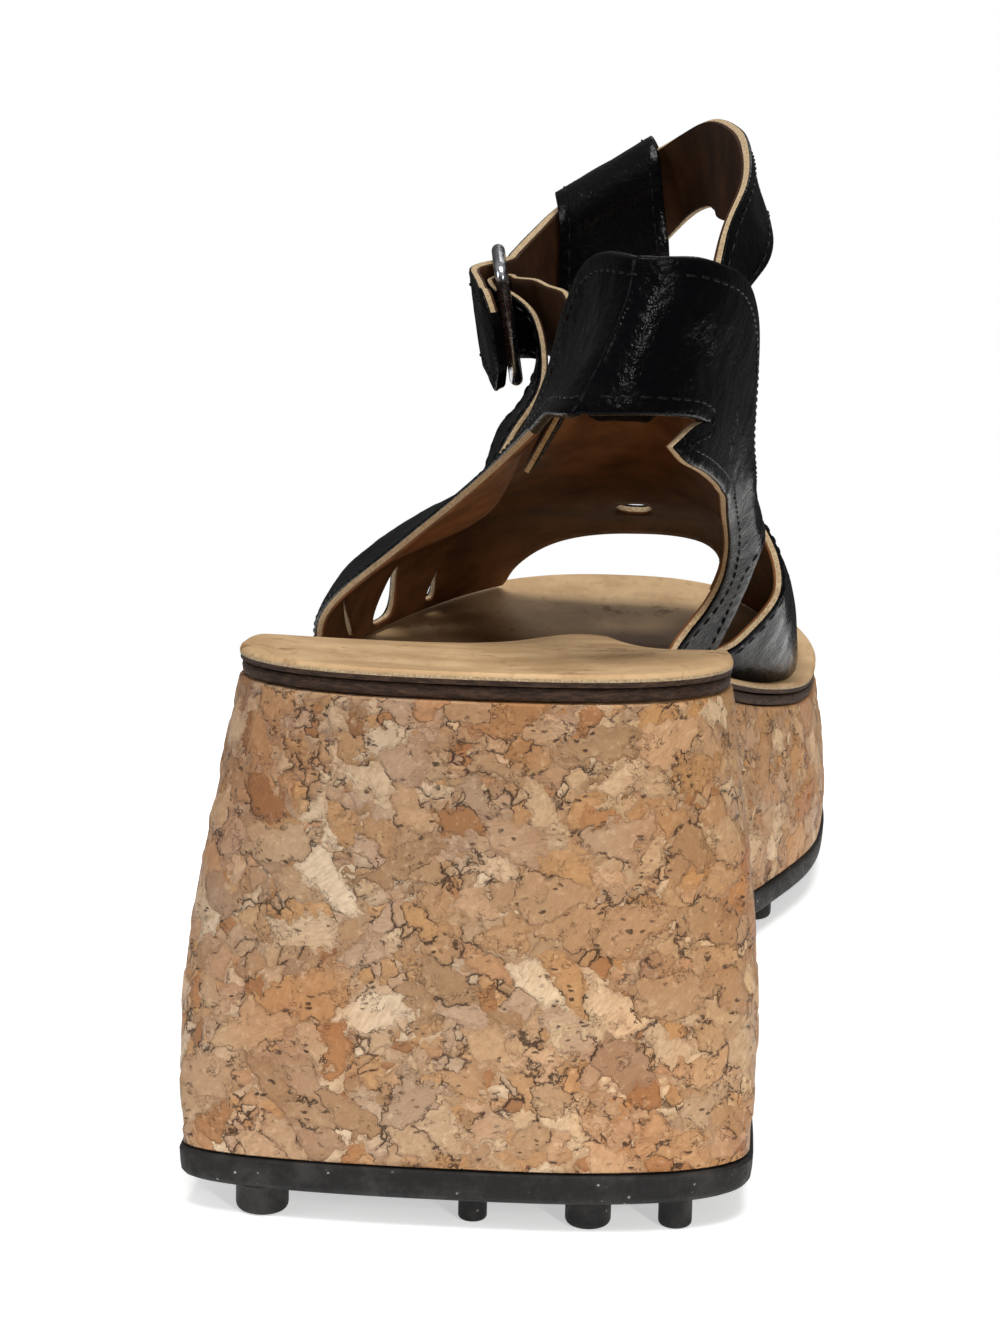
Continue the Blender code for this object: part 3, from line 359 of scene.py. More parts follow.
# Layers of cork chips: size in mm, squash, turn, share of the chips that show, width of the cracks
CORK_LAYERS = (
    (2.6, (1.0, 1.5, 1.3), 0.4, 1.0, 0.075), (4.6, (1.0, 1.0, 1.7), 1.1, 0.62, 0.055),
    (6.4, (0.8, 1.0, 1.6), -0.7, 0.50, 0.042), (9.5, (1.0, 1.0, 1.7), 0.3, 0.34, 0.03),
)
# Tints of the chips: place on the scale, then red, green and blue as displayed
CORK_TINTS = (
    (0.00, 194, 163, 127), (0.12, 160, 124, 88), (0.24, 212, 184, 149), (0.36, 178, 135, 90),
    (0.48, 186, 155, 127), (0.60, 194, 147, 97), (0.72, 162, 132, 105), (0.84, 226, 200, 166),
    (0.94, 176, 123, 77), (1.00, 146, 101, 64),
)


class Look:
    """Builder for one procedural material."""

    def __init__(self, name, **sockets):
        self.material = bpy.data.materials.new(name)
        self.material.use_nodes = True
        self.tree = self.material.node_tree
        self.shader = self.tree.nodes["Principled BSDF"]
        for socket, value in sockets.items():
            self.feed(self.shader, socket.replace("_", " "), value)
        self.place = self.node("ShaderNodeTexCoord").outputs["Object"]

    def feed(self, node, key, value):
        """Link or set one input of a node."""
        if isinstance(value, bpy.types.NodeSocket):
            self.tree.links.new(value, node.inputs[key])
        else:
            node.inputs[key].default_value = value

    def node(self, kind, inputs=None, **settings):
        """New node with its settings and inputs."""
        made = self.tree.nodes.new(kind)
        for key, value in settings.items():
            setattr(made, key, value)
        for key, value in (inputs or {}).items():
            self.feed(made, key, value)
        return made

    def math(self, operation, *values):
        return self.node("ShaderNodeMath", dict(enumerate(values)), operation=operation).outputs[0]

    def vector(self, operation, *values):
        return self.node("ShaderNodeVectorMath", dict(enumerate(values)), operation=operation).outputs[0]

    def times(self, first, second):
        return self.math("MULTIPLY", first, second)

    def total(self, *parts):
        """Sum of (value, weight) pairs."""
        result = None
        for value, weight in parts:
            part = value if weight == 1 else self.times(value, weight)
            result = part if result is None else self.math("ADD", result, part)
        return result

    def scaled(self, *shares):
        """The place with its axes scaled."""
        return self.vector("MULTIPLY", self.place, shares)

    def rotated(self, place, axis, angle):
        inputs = {"Vector": place, "Axis": axis, "Angle": angle}
        return self.node("ShaderNodeVectorRotate", inputs, rotation_type="AXIS_ANGLE").outputs[0]

    def moved(self, amount, pattern):
        """The place, moved about by a coloured noise."""
        shift = self.vector("SUBTRACT", pattern, (0.5, 0.5, 0.5))
        return self.vector("ADD", self.place, self.vector("MULTIPLY", shift, (amount, amount, amount)))

    def noise(self, size, detail=2.0, rough=0.5, place=None, colour=False):
        inputs = {"Vector": place or self.place, "Scale": 1 / size, "Detail": detail, "Roughness": rough}
        return self.node("ShaderNodeTexNoise", inputs).outputs["Color" if colour else "Fac"]

    def cells(self, size, feature="F1", place=None):
        inputs = {"Vector": place or self.place, "Scale": 1 / size}
        return self.node("ShaderNodeTexVoronoi", inputs, feature=feature).outputs

    def parts(self, colour):
        return self.node("ShaderNodeSeparateColor", {0: colour}).outputs

    def ramp(self, value, *stops):
        """Colour between stops, each a position and its display colour."""
        made = self.node("ShaderNodeValToRGB", {0: value})
        band = made.color_ramp
        while len(band.elements) < len(stops):
            band.elements.new(0.5)
        for element, (position, *shade) in zip(band.elements, stops):
            element.position = position
            element.color = (*rgb(*shade), 1.0)
        return made.outputs["Color"]

    def grey(self, value, low, high, bottom=0.0, top=1.0):
        """The value eased from one range into another."""
        inputs = {"Value": value, "From Min": low, "From Max": high, "To Min": bottom, "To Max": top}
        return self.node("ShaderNodeMapRange", inputs, interpolation_type="SMOOTHSTEP").outputs[0]

    def mix(self, share, first, second, blend="MIX"):
        """Mix of two colours, each a socket or a linear colour."""
        inputs = {"Factor": share}
        for key, value in ((6, first), (7, second)):
            inputs[key] = value if isinstance(value, bpy.types.NodeSocket) else (*value, 1.0)
        return self.node("ShaderNodeMix", inputs, data_type="RGBA", blend_type=blend).outputs[2]

    def choose(self, share, first, second):
        return self.node("ShaderNodeMix", {0: share, 2: first, 3: second}).outputs[0]

    def finish(self, colour, rough, height=None, depth=0.1 * MM, strength=1.0):
        """The material with its colour, roughness and relief."""
        self.feed(self.shader, "Base Color", colour)
        self.feed(self.shader, "Roughness", rough)
        if height is not None:
            inputs = {"Height": height, "Strength": strength, "Distance": depth}
            self.feed(self.shader, "Normal", self.node("ShaderNodeBump", inputs).outputs[0])
        return self.material


def rgb(red, green, blue):
    """Linear colour of a display colour given from 0 to 255."""
    shares = [value / 255 for value in (red, green, blue)]
    return tuple(v / 12.92 if v <= 0.04045 else ((v + 0.055) / 1.055)**2.4 for v in shares)


def cork_layer(look, warp, gaps, size, squash, turn, crack):
    """Tint, height, seams and random number of the chips of one layer."""
    place = look.rotated(look.moved(0.85 * size * MM, warp), (0.3, 1.0, 0.2), turn)
    place = look.vector("ADD", look.vector("MULTIPLY", place, squash), (size, 2 * size, 3 * size))
    cell = look.cells(size * MM, place=place)
    rim = look.cells(size * MM, "DISTANCE_TO_EDGE", place=place)["Distance"]
    parts = look.parts(cell["Color"])
    grain = look.rotated(look.place, cell["Color"], 2.6)
    streak = look.noise(0.42 * MM, 3.0, 0.6, place=look.vector("MULTIPLY", grain, (1.0, 0.16, 0.5)))
    tint = look.ramp(parts[1], *CORK_TINTS)
    tint = look.mix(look.grey(streak, 0.35, 0.75, 0.0, 0.34), tint, rgb(146, 106, 70))
    tint = look.mix(look.grey(rim, 0.0, crack * 4.5, 0.24, 0.0), tint, rgb(140, 98, 64))
    broken = look.grey(look.total((gaps, 1), (parts[2], 0.12)), 0.57, 0.66)
    seam = look.times(look.grey(rim, 0.0, crack, 1.0, 0.0), broken)
    slope = look.grey(rim, 0.0, crack * 3.0, 0.0, 0.3)
    return tint, look.total((parts[0], 0.35), (slope, 1), (streak, 0.22)), seam, parts[0]


def cork_look():
    """Pressed cork: overlapping chips of mixed size and tint, streaked inside, short dark cracks."""
    look = Look("cork_granulate", Specular_IOR_Level=0.25)
    warp = look.noise(3.4 * MM, 4.0, 0.62, colour=True)
    gaps = look.noise(4.2 * MM, 3.0, 0.7)
    fine = look.noise(1.1 * MM, 3.0, 0.65)
    tone, lift, dark = None, None, None
    for size, squash, turn, share, crack in CORK_LAYERS:
        tint, height, seam, chance = cork_layer(look, warp, gaps, size, squash, turn, crack)
        if tone is None:
            tone, lift, dark = tint, height, seam
            continue
        there = look.grey(chance, share - 0.01, share + 0.01, 1.0, 0.0)
        tone = look.mix(there, tone, tint)
        lift = look.choose(there, lift, height)
        dark = look.choose(there, dark, seam)
    bent = look.moved(1.6 * MM, look.noise(1.8 * MM, colour=True))
    fleck = look.cells(1.9 * MM, place=look.vector("MULTIPLY", bent, (1.0, 1.0, 2.1)))
    zone = look.grey(look.noise(7.5 * MM, 3.0, 0.6), 0.44, 0.62)
    chance = look.parts(fleck["Color"])[0]
    near = look.grey(fleck["Distance"], 0.12, 0.28, 1.0, 0.0)
    spots = look.times(near, look.times(zone, look.grey(chance, 0.3, 0.5)))
    thread = look.grey(look.math("ABSOLUTE", look.math("SUBTRACT", fine, 0.5)), 0.0, 0.016, 1.0, 0.0)
    thread = look.times(thread, look.grey(look.noise(3.0 * MM), 0.56, 0.66))
    dark = look.math("MAXIMUM", look.math("MAXIMUM", dark, spots), look.times(thread, 0.7))
    patch = look.noise(24 * MM)
    painted_light_side = look.node("ShaderNodeSeparateXYZ", {0: look.place}).outputs[0]
    tone = look.mix(look.grey(patch, 0.42, 0.68, 0.0, 0.35), tone, rgb(232, 176, 118), "MULTIPLY")
    # Painted light: the cork is tinted cool towards the lateral side and warm towards the medial side,
    # standing for cool light on one side and warm bounce light on the other.
    tone = look.mix(look.grey(painted_light_side, -0.04, 0.045, 0.5, 0.0), tone, rgb(232, 240, 255), "MULTIPLY")
    tone = look.mix(look.grey(painted_light_side, -0.01, 0.05, 0.0, 0.4), tone, rgb(255, 236, 200), "MULTIPLY")
    tone = look.mix(look.grey(fine, 0.3, 0.7, 0.2, 0.0), tone, rgb(136, 98, 66))
    tone = look.mix(look.grey(fine, 0.55, 0.8, 0.0, 0.35), tone, rgb(226, 200, 166))
    tone = look.mix(look.times(dark, 0.88), tone, rgb(62, 38, 24))
    height = look.math("SUBTRACT", lift, look.times(dark, 0.8))
    rough = look.grey(look.noise(7 * MM), 0.3, 0.7, 0.45, 0.62)
    return look.finish(tone, rough, look.total((height, 1), (fine, 0.25)), 0.62 * MM)


def black_leather_look(name="black_leather", gloss=0.22, shine=0.05):
    """Glossy black leather with a pebbled grain, soft wrinkles and worn, duller places."""
    look = Look(name, Specular_IOR_Level=shine)
    place = look.moved(0.5 * MM, look.noise(1.6 * MM, colour=True))
    grain = look.cells(0.95 * MM, "SMOOTH_F1", place=place)["Distance"]
    fine = look.cells(0.4 * MM, place=place)["Distance"]
    wrinkle = look.noise(3.2 * MM)
    worn = look.grey(look.noise(11 * MM, 4.0, 0.6), 0.55, 0.8)
    tone = look.mix(worn, rgb(8, 8, 10), rgb(15, 14, 16))
    rough = look.grey(look.noise(5 * MM, 3.0, 0.6), 0.35, 0.65, gloss - 0.04, gloss + 0.10)
    return look.finish(tone, rough, look.total((grain, -1.1), (fine, -0.35), (wrinkle, 0.6)))


def thread_look():
    """Waxed black thread with fine twisted fibres."""
    look = Look("black_thread", Specular_IOR_Level=0.12)
    twist = look.noise(0.25 * MM, 2.0, 0.6)
    tone = look.mix(look.grey(twist, 0.35, 0.7), rgb(8, 8, 9), rgb(22, 21, 21))
    return look.finish(tone, 0.42, twist, 0.05 * MM, 0.8)


def lining_look(name="brown_lining", dark=(90, 56, 31), light=(126, 82, 48)):
    """Smooth brown lining leather with faint mottling and pores."""
    look = Look(name, Specular_IOR_Level=0.15)
    mottle = look.noise(9 * MM, 4.0, 0.6)
    pores = look.cells(0.55 * MM)["Distance"]
    scuff = look.noise(2.4 * MM, 3.0, 0.6, place=look.scaled(1.0, 1.0, 0.3))
    tone = look.mix(look.grey(mottle, 0.3, 0.7), rgb(*dark), rgb(*light))
    tone = look.mix(look.grey(scuff, 0.55, 0.8, 0.0, 0.35), tone, rgb(*light))
    return look.finish(tone, 0.62, look.total((pores, 0.35), (scuff, 0.6)), 0.06 * MM, 0.8)


def edge_look():
    """Raw cut edge of pale leather: fibrous, with darker rubs."""
    look = Look("cream_cut_edge", Specular_IOR_Level=0.25)
    fibre = look.noise(0.35 * MM, 3.0, 0.7)
    rub = look.noise(3.0 * MM, 3.0, 0.6)
    tone = look.mix(look.grey(fibre, 0.3, 0.75), rgb(150, 124, 92), rgb(206, 184, 150))
    tone = look.mix(look.grey(rub, 0.58, 0.75, 0.0, 0.5), tone, rgb(110, 82, 56))
    return look.finish(tone, 0.8, fibre, 0.12 * MM, 0.9)


def footbed_look():
    """Tan footbed leather: fine grain, dull sheen, scuffs and a few dark rubs."""
    look = Look("tan_footbed", Specular_IOR_Level=0.08)
    cloud = look.noise(14 * MM, 4.0, 0.55)
    grain = look.cells(0.6 * MM)["Distance"]
    brushed = look.noise(1.6 * MM, 4.0, 0.6, place=look.scaled(1.0, 0.35, 1.0))
    drawn = look.noise(2.6 * MM, 3.0, 0.7, place=look.scaled(1.0, 0.22, 1.0))
    rub = look.times(look.grey(look.noise(5 * MM, 5.0, 0.7), 0.56, 0.68),
                     look.grey(look.noise(24 * MM), 0.45, 0.6))
    tone = look.mix(look.grey(cloud, 0.3, 0.7), rgb(176, 143, 104), rgb(204, 172, 132))
    tone = look.mix(look.grey(brushed, 0.5, 0.8, 0.0, 0.5), tone, rgb(158, 120, 80))
    tone = look.mix(look.times(rub, 0.7), tone, rgb(108, 70, 40))
    tone = look.mix(look.grey(drawn, 0.62, 0.7, 0.0, 0.3), tone, rgb(122, 84, 50))
    rough = look.grey(cloud, 0.3, 0.7, 0.42, 0.58)
    return look.finish(tone, rough, look.total((grain, 0.3), (brushed, 0.8)), 0.06 * MM, 0.8)


def rand_look():
    """Dark brown fibrous layer, with paler fibres along it."""
    look = Look("dark_rand", Specular_IOR_Level=0.3)
    fibre = look.noise(0.8 * MM, 4.0, 0.7, place=look.scaled(0.4, 0.4, 2.0))
    tone = look.mix(look.grey(fibre, 0.35, 0.75), rgb(38, 24, 16), rgb(84, 60, 44))
    return look.finish(tone, 0.75, fibre, 0.2 * MM)


def rubber_look():
    """Dark grey rubber with dust, scuffs and a moulded texture."""
    look = Look("black_rubber", Specular_IOR_Level=0.2)
    cast = look.noise(1.1 * MM, 4.0, 0.65)
    dust = look.noise(5.5 * MM, 5.0, 0.7)
    speck = look.cells(1.7 * MM)["Distance"]
    tone = look.mix(look.grey(dust, 0.42, 0.7), rgb(26, 25, 25), rgb(48, 46, 45))
    dots = look.times(look.grey(speck, 0.05, 0.16, 1.0, 0.0), look.grey(dust, 0.51, 0.58))
    tone = look.mix(look.times(dots, 0.7), tone, rgb(190, 184, 178))
    return look.finish(tone, look.grey(cast, 0.3, 0.7, 0.55, 0.75), cast, 0.12 * MM, 0.8)


def metal_look():
    """Polished nickel with fine scratches and darker tarnish."""
    look = Look("polished_buckle", Metallic=1.0)
    tarnish = look.noise(2.5 * MM, 4.0, 0.6)
    scratch = look.noise(0.5 * MM, 3.0, 0.6, place=look.scaled(1.0, 0.2, 1.0))
    tone = look.mix(look.grey(tarnish, 0.45, 0.75), rgb(196, 196, 202), rgb(128, 128, 136))
    return look.finish(tone, look.grey(scratch, 0.3, 0.7, 0.16, 0.32), scratch, 0.02 * MM, 0.5)


# Meshes


MERGE = 0.004 * MM
SHARP_ANGLE = 50


def add_piece(name, points, faces, finishes, marks=None):
    """Mesh object from points and faces, each face with the index of its finish."""
    mesh = bpy.data.meshes.new(name)
    mesh.from_pydata([tuple(p) for p in np.asarray(points, float) + SHIFT], [], faces)
    for finish in finishes:
        mesh.materials.append(finish)
    if marks is not None:
        mesh.polygons.foreach_set("material_index", np.asarray(marks, np.int32))
    bm = bmesh.new()
    bm.from_mesh(mesh)
    bmesh.ops.remove_doubles(bm, verts=bm.verts, dist=MERGE)
    bmesh.ops.dissolve_degenerate(bm, edges=bm.edges, dist=MERGE)
    bmesh.ops.recalc_face_normals(bm, faces=bm.faces)
    bm.to_mesh(mesh)
    bm.free()
    mesh.shade_smooth()
    mesh.set_sharp_from_angle(angle=math.radians(SHARP_ANGLE))
    made = bpy.data.objects.new(name, mesh)
    bpy.context.scene.collection.objects.link(made)
    return made


def stations(count):
    """Places along the sole, closer together at heel and toe."""
    return -np.cos(np.linspace(0, math.pi, count + 1))


def ring_faces(count, sides, start=0, closed=False, capped=False):
    """Faces between rings of points that follow each other, with their ends closed if capped."""
    faces = []
    for i in range(count if closed else count - 1):
        a, b = start + i * sides, start + (i + 1) % count * sides
        faces += [(a + k, a + (k + 1) % sides, b + (k + 1) % sides, b + k) for k in range(sides)]
    if capped:
        faces.append(tuple(start + k for k in reversed(range(sides))))
        faces.append(tuple(start + (count - 1) * sides + k for k in range(sides)))
    return faces


def loft(name, rings, finishes, marks=None):
    """Closed body through rings of points."""
    rings = np.array(rings, float)
    count, around = rings.shape[:2]
    kinds = None if marks is None else np.tile(marks, count - 1)
    return add_piece(name, rings.reshape(-1, 3), ring_faces(count, around), finishes, kinds)


def dress(piece, node):
    """The piece stands for a node of the frame, hides it and rides with the root body."""
    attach(piece, "root")
    if node:
        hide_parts(node)
    return piece


# Sole


CHIP_SIZE = 4.6 * MM
CHIP_SEED = 5
WEDGE_SOFTNESS = 0.25 * MM


def side_ring(along, levels, top=None):
    """Ring down the medial side, across below and up the lateral side. levels lists
    (drop, z, inset) from top to bottom, and top gives the points across on top."""
    ring = []
    for side in (1, -1):
        points = [(*map(float, sole_edge(along, side, drop, inset)), float(z)) for drop, z, inset in levels]
        ring += points if side > 0 else points[::-1]
    if top:
        ring += top(ring[-1], ring[0])
    return ring


def footbed_relief(across, along):
    """Height of the footbed above its edge: a cupped heel and a raised inner arch."""
    cup = -HEEL_CUP * (1 - across**2)**1.5 * np.clip((-along - 0.35) / 0.4, 0, 1)
    cup = cup * np.clip((1 + along) / 0.12, 0, 1)
    arch = np.exp(-((along + 0.16) / 0.24)**2 - ((across - 0.45) / 0.38)**2)
    ball = np.exp(-((along - 0.22) / 0.13)**2 - (across / 0.5)**2)
    fade = np.clip((0.86 - abs(across)) / 0.3, 0, 1)
    return cup + ARCH_BUMP * (arch + 0.35 * ball) * fade


def chip_relief(points, normals):
    """Cork chips that stand proud by uneven amounts, with pits between them."""
    rng = np.random.default_rng(CHIP_SEED)
    noise.seed_set(CHIP_SEED)
    cells = np.unique(np.floor(points / CHIP_SIZE).astype(int), axis=0)
    near = np.array([(i, j, k) for i in (-1, 0, 1) for j in (-1, 0, 1) for k in (-1, 0, 1)])
    cells = np.unique((cells[:, None] + near[None]).reshape(-1, 3), axis=0)
    seeds = (cells + rng.random(cells.shape)) * CHIP_SIZE
    proud = rng.random(len(seeds))
    tree = kdtree.KDTree(len(seeds))
    for index, seed in enumerate(seeds):
        tree.insert(seed, index)
    tree.balance()
    moves = np.zeros(len(points))
    for index, point in enumerate(points):
        bent = Vector(point) + noise.noise_vector(Vector(point) / (3.5 * MM)) * (1.4 * MM)
        first, second = tree.find_n(bent, 2)
        border = min(1.0, (second[2] - first[2]) / (1.1 * MM))
        pit = max(0.0, noise.noise(Vector(point) / (1.6 * MM)) - 0.42)
        raised = (proud[first[1]] - 0.55) * 0.42 * MM * border
        moves[index] = raised - 0.12 * MM * (1 - border) - pit * 1.2 * MM
    return points + normals * moves[:, None]


def make_wedge():
    """Cork wedge and platform with softly rounded rims and chips in relief."""
    rings = []
    for along in stations(330):
        high = footbed_height(along) - INSOLE_THICK - RAND_THICK - 2 * GAP
        low = ground_height(along) + OUTSOLE_THICK + GAP
        levels = [(0, high, WEDGE_SOFTNESS)]
        for drop in np.linspace(0, 1, 84):
            levels.append((drop, high - 0.2 * MM + (low - high + 0.4 * MM) * drop, 0))
        levels.append((1, low, WEDGE_SOFTNESS))
        rings.append(side_ring(along, levels))
    rings = np.array(rings, float)
    normals = np.cross(np.gradient(rings, axis=0), np.gradient(rings, axis=1))
    long = np.linalg.norm(normals, axis=-1, keepdims=True)
    normals = np.where(long > 1e-12, normals / np.maximum(long, 1e-12), 0)
    outwards = rings - rings.mean(axis=1, keepdims=True)
    normals = normals * np.sign((normals * outwards).sum(-1, keepdims=True))
    side = rings.shape[1] // 2
    fade = np.minimum(np.minimum(np.arange(side), np.arange(side)[::-1]) / 4, 1.0)
    normals = normals * np.concatenate([fade, fade])[None, :, None]
    rings = chip_relief(rings.reshape(-1, 3), normals.reshape(-1, 3)).reshape(rings.shape)
    return dress(loft("cork_wedge", rings, [cork_look()]), "wedge")


def make_rand():
    """Dark layer between the footbed and the cork, with a slightly ragged rim."""
    rng = np.random.default_rng(11)
    rings = []
    wobble = np.interp(np.linspace(0, 1, 241), np.linspace(0, 1, 90), rng.normal(0, 0.09 * MM, 90))
    for along, ragged in zip(stations(240), wobble):
        high = footbed_height(along) - INSOLE_THICK - GAP
        inset = RAND_INSET + ragged
        soft = 0.2 * MM
        levels = [(0, high, inset + soft), (0, high - soft, inset), (0, high - 0.9 * MM, inset - 0.1 * MM),
                  (0, high - RAND_THICK + soft, inset), (0, high - RAND_THICK, inset + soft)]
        rings.append(side_ring(along, levels))
    return dress(loft("dark_rand", rings, [rand_look()]), "rand")


def make_footbed():
    """Leather footbed with its relief; its cut edge is pale above and dark below."""
    columns = 48
    rings = []
    for along in stations(240):
        edge = footbed_height(along)
        levels = [(0, edge - 0.08 * MM, 0.45 * MM), (0, edge - 0.28 * MM, 0.15 * MM), (0, edge - 0.6 * MM, 0),
                  (0, edge - 1.05 * MM, 0.02 * MM), (0, edge - 1.4 * MM, 0.12 * MM),
                  (0, edge - INSOLE_THICK, 0.1 * MM)]

        def top(lateral, medial, along=along, edge=edge):
            across = -np.cos(math.pi * np.arange(1, columns) / columns)
            x = lateral[0] + (medial[0] - lateral[0]) * (1 + across) / 2
            z = edge + footbed_relief(across, along)
            return [(float(a), lateral[1], float(b)) for a, b in zip(x, z)]

        rings.append(side_ring(along, levels, top=top))
    side = [0, 0, 1, 2, 2]
    marks = side + [2] + side[::-1] + [0] * columns
    finishes = [footbed_look(), edge_look(), rand_look()]
    return dress(loft("footbed", rings, finishes, marks), "insole")


def turned(profile, centre, sides, start):
    """Points and faces of a turned solid about a vertical axis; profile lists (radius, z)."""
    angles = 2 * math.pi * np.arange(sides) / sides
    points = []
    for radius, z in profile:
        points += [(centre[0] + radius * math.cos(a), centre[1] + radius * math.sin(a), z) for a in angles]
    return points, ring_faces(len(profile), sides, start, capped=True)


def make_outsole(finish):
    """Rubber outsole with a lip around the cork."""
    rings = []
    for along in stations(200):
        low = ground_height(along)
        levels = [(1, low + OUTSOLE_THICK, 0.3 * MM), (1, low + OUTSOLE_THICK - 0.3 * MM, 0),
                  (1, low + 2.4 * MM, 0.1 * MM), (1, low + 1.2 * MM, 0.25 * MM),
                  (1, low + 0.5 * MM, 0.7 * MM), (1, low + 0.1 * MM, 1.3 * MM), (1, low, 2.0 * MM)]
        levels = [(drop, z, inset - OUTSOLE_LIP) for drop, z, inset in levels]
        rings.append(side_ring(along, levels))
    return dress(loft("outsole_body", rings, [finish]), "outsole")


def make_studs(finish):
    """Round studs with a rounded foot and a small dimple."""
    points, faces = [], []
    for along, across, size in STUDS:
        radius = STUD_DIAMETER / 2 * size
        widest = max(along, -0.9)
        x_medial, _ = sole_edge(widest, 1, 1, STUD_MARGIN)
        x_lateral, _ = sole_edge(widest, -1, 1, STUD_MARGIN)
        x = x_lateral + (x_medial - x_lateral) * (1 + across) / 2
        y = along * (SOLE_LENGTH / 2 - STUD_MARGIN)
        base = float(ground_height(along))
        foot = base - STUD_HEIGHT
        bend = STUD_ROUND * size
        profile = [(radius * 0.25, foot + 0.5 * MM), (radius * 0.4, foot + 0.1 * MM), (radius * 0.5, foot)]
        for turn in np.linspace(0, math.pi / 2, 6):
            profile.append((radius - bend + bend * math.sin(turn), foot + bend - bend * math.cos(turn)))
        profile += [(radius, base - 0.5 * MM), (radius + 0.5 * MM, base + 0.2 * MM),
                    (radius, base + 1.2 * MM)]
        new_points, new_faces = turned(profile, (float(x), float(y)), 40, len(points))
        points += new_points
        faces += new_faces
    return dress(add_piece("outsole_studs", points, faces, [finish]), None)


# Upper


PATTERN = np.array([1.1 * SOLE_LENGTH, 1.2 * HEEL_RISE])


def outline_loop(points, step):
    """Closed outline as a smooth curve with even steps that keeps its marked corners."""
    loop = []
    count = len(points)
    for i in range(count):
        before, start, end, after = (np.array(points[(i + k) % count][:2], float) for k in (-1, 0, 1, 2))
        first, last = points[i][2], points[(i + 1) % count][2]
        spans = max(1, int(round(np.linalg.norm((end - start) * PATTERN) / step)))
        for s in np.arange(spans) / spans:
            if first and last:
                loop.append(start + (end - start) * s)
                continue
            out = (end - start) if first else (end - before) / 2
            into = (end - start) if last else (after - start) / 2
            loop.append((2 * s**3 - 3 * s**2 + 1) * start + (s**3 - 2 * s**2 + s) * out
                        + (3 * s**2 - 2 * s**3) * end + (s**3 - s**2) * into)
    return np.array(loop)


def slit_loop(foot, tip, low, high, width):
    """Drop-shaped outline from its wide foot to its tip."""
    half = ((0.0, -0.4), (0.06, -0.9), (0.25, -1.0), (0.6, -0.62))
    shape = half + ((1.0, 0.0),) + tuple((share, -wide) for share, wide in reversed(half))
    places = [(foot + (tip - foot) * s + width / 2 * w, low + (high - low) * s, 0) for s, w in shape]
    return outline_loop(places, 0.8 * MM)


def vent_loop():
    """Round hole on the instep."""
    up = 0.315
    across = np.linalg.norm(leather(0.01, up) - leather(-0.01, up)) / 0.02
    rising = np.linalg.norm(leather(0, up + 0.01) - leather(0, up - 0.01)) / 0.02
    turn = 2 * math.pi * np.arange(36) / 36
    radius = VENT_DIAMETER / 2
    return np.stack([radius / across * np.cos(turn), up + 1.35 * radius / rising * np.sin(turn)], -1)


def inside_loops(places, loops):
    """Which places lie in the outline and in none of its holes."""
    inside = np.zeros(len(places), bool)
    for loop in loops:
        ends = np.roll(loop, -1, axis=0)
        for (ax, ay), (bx, by) in zip(loop, ends):
            if ay != by:
                crosses = (ay > places[:, 1]) != (by > places[:, 1])
                at = ax + (places[:, 1] - ay) / (by - ay) * (bx - ax)
                inside ^= crosses & (places[:, 0] < at)
    return inside


def distance_to(places, loops):
    """Distance of places to the nearest point of the loops."""
    edge = np.concatenate(loops)
    nearest = np.full(len(places), 1e9)
    for part in np.array_split(np.arange(len(places)), max(1, len(places) // 2000)):
        d = places[part][:, None] - edge[None]
        nearest[part] = np.sqrt((d**2).sum(-1)).min(1)
    return nearest


def loop_frame(loop, material_left):
    """3-D points, normals and outward in-surface directions of a loop on the leather."""
    outer = leather(loop[:, 0], loop[:, 1])
    normal = leather_normal(loop[:, 0], loop[:, 1])
    tangent = np.roll(outer, -1, axis=0) - np.roll(outer, 1, axis=0)
    out = np.cross(tangent, normal) * (-1 if material_left else 1)
    out = out / np.maximum(np.linalg.norm(out, axis=1, keepdims=True), 1e-9)
    out = out + 0.5 * (np.roll(out, 1, axis=0) + np.roll(out, -1, axis=0))
    return outer, normal, out / np.maximum(np.linalg.norm(out, axis=1, keepdims=True), 1e-9)


def signed_area(loop):
    """Area of a loop, positive where it runs counter-clockwise."""
    x, y = loop.T
    return 0.5 * float((x * np.roll(y, -1) - np.roll(x, -1) * y).sum())


def upper_loops(step):
    """The upper's outline and its cut-outs."""
    outline = outline_loop(LATERAL_EDGE + MEDIAL_EDGE, step)
    return [outline, outline_loop(MEDIAL_WINDOW, step), vent_loop()] + [slit_loop(*row) for row in SLITS]


def filled(flat, step):
    """Even triangles inside the first loop and outside the others, on the flat pattern. Gives
    the points, the triangles and the numbers of each loop's points."""
    grid = []
    rows = int(PATTERN[1] / (step * 0.87)) + 1
    columns = int(2 * PATTERN[0] / step) + 1
    for i in range(rows):
        x = (np.arange(columns) + 0.5 * (i % 2)) * step - PATTERN[0]
        grid.append(np.stack([x, np.full(columns, i * step * 0.87)], -1))
    grid = np.concatenate(grid)
    grid = grid[inside_loops(grid, flat)]
    grid = grid[distance_to(grid, flat) > 0.62 * step]
    places = np.concatenate(flat + [grid])
    edges, numbers = [], []
    for loop in flat:
        start, count = len(edges), len(loop)
        edges += [(start + k, start + (k + 1) % count) for k in range(count)]
        numbers.append([start + k for k in range(count)])
    large = [Vector(p * 1000) for p in places]
    verts, _, triangles, origin, _, _ = delaunay_2d_cdt(large, edges, [], 0, 1e-4)
    verts = np.array([tuple(v) for v in verts]) / 1000
    triangles = np.array([tuple(t) for t in triangles])
    triangles = triangles[inside_loops(verts[triangles].mean(1), flat)]
    found = {source: index for index, sources in enumerate(origin) for source in sources}
    return verts, triangles, [np.array([found[k] for k in loop]) for loop in numbers]


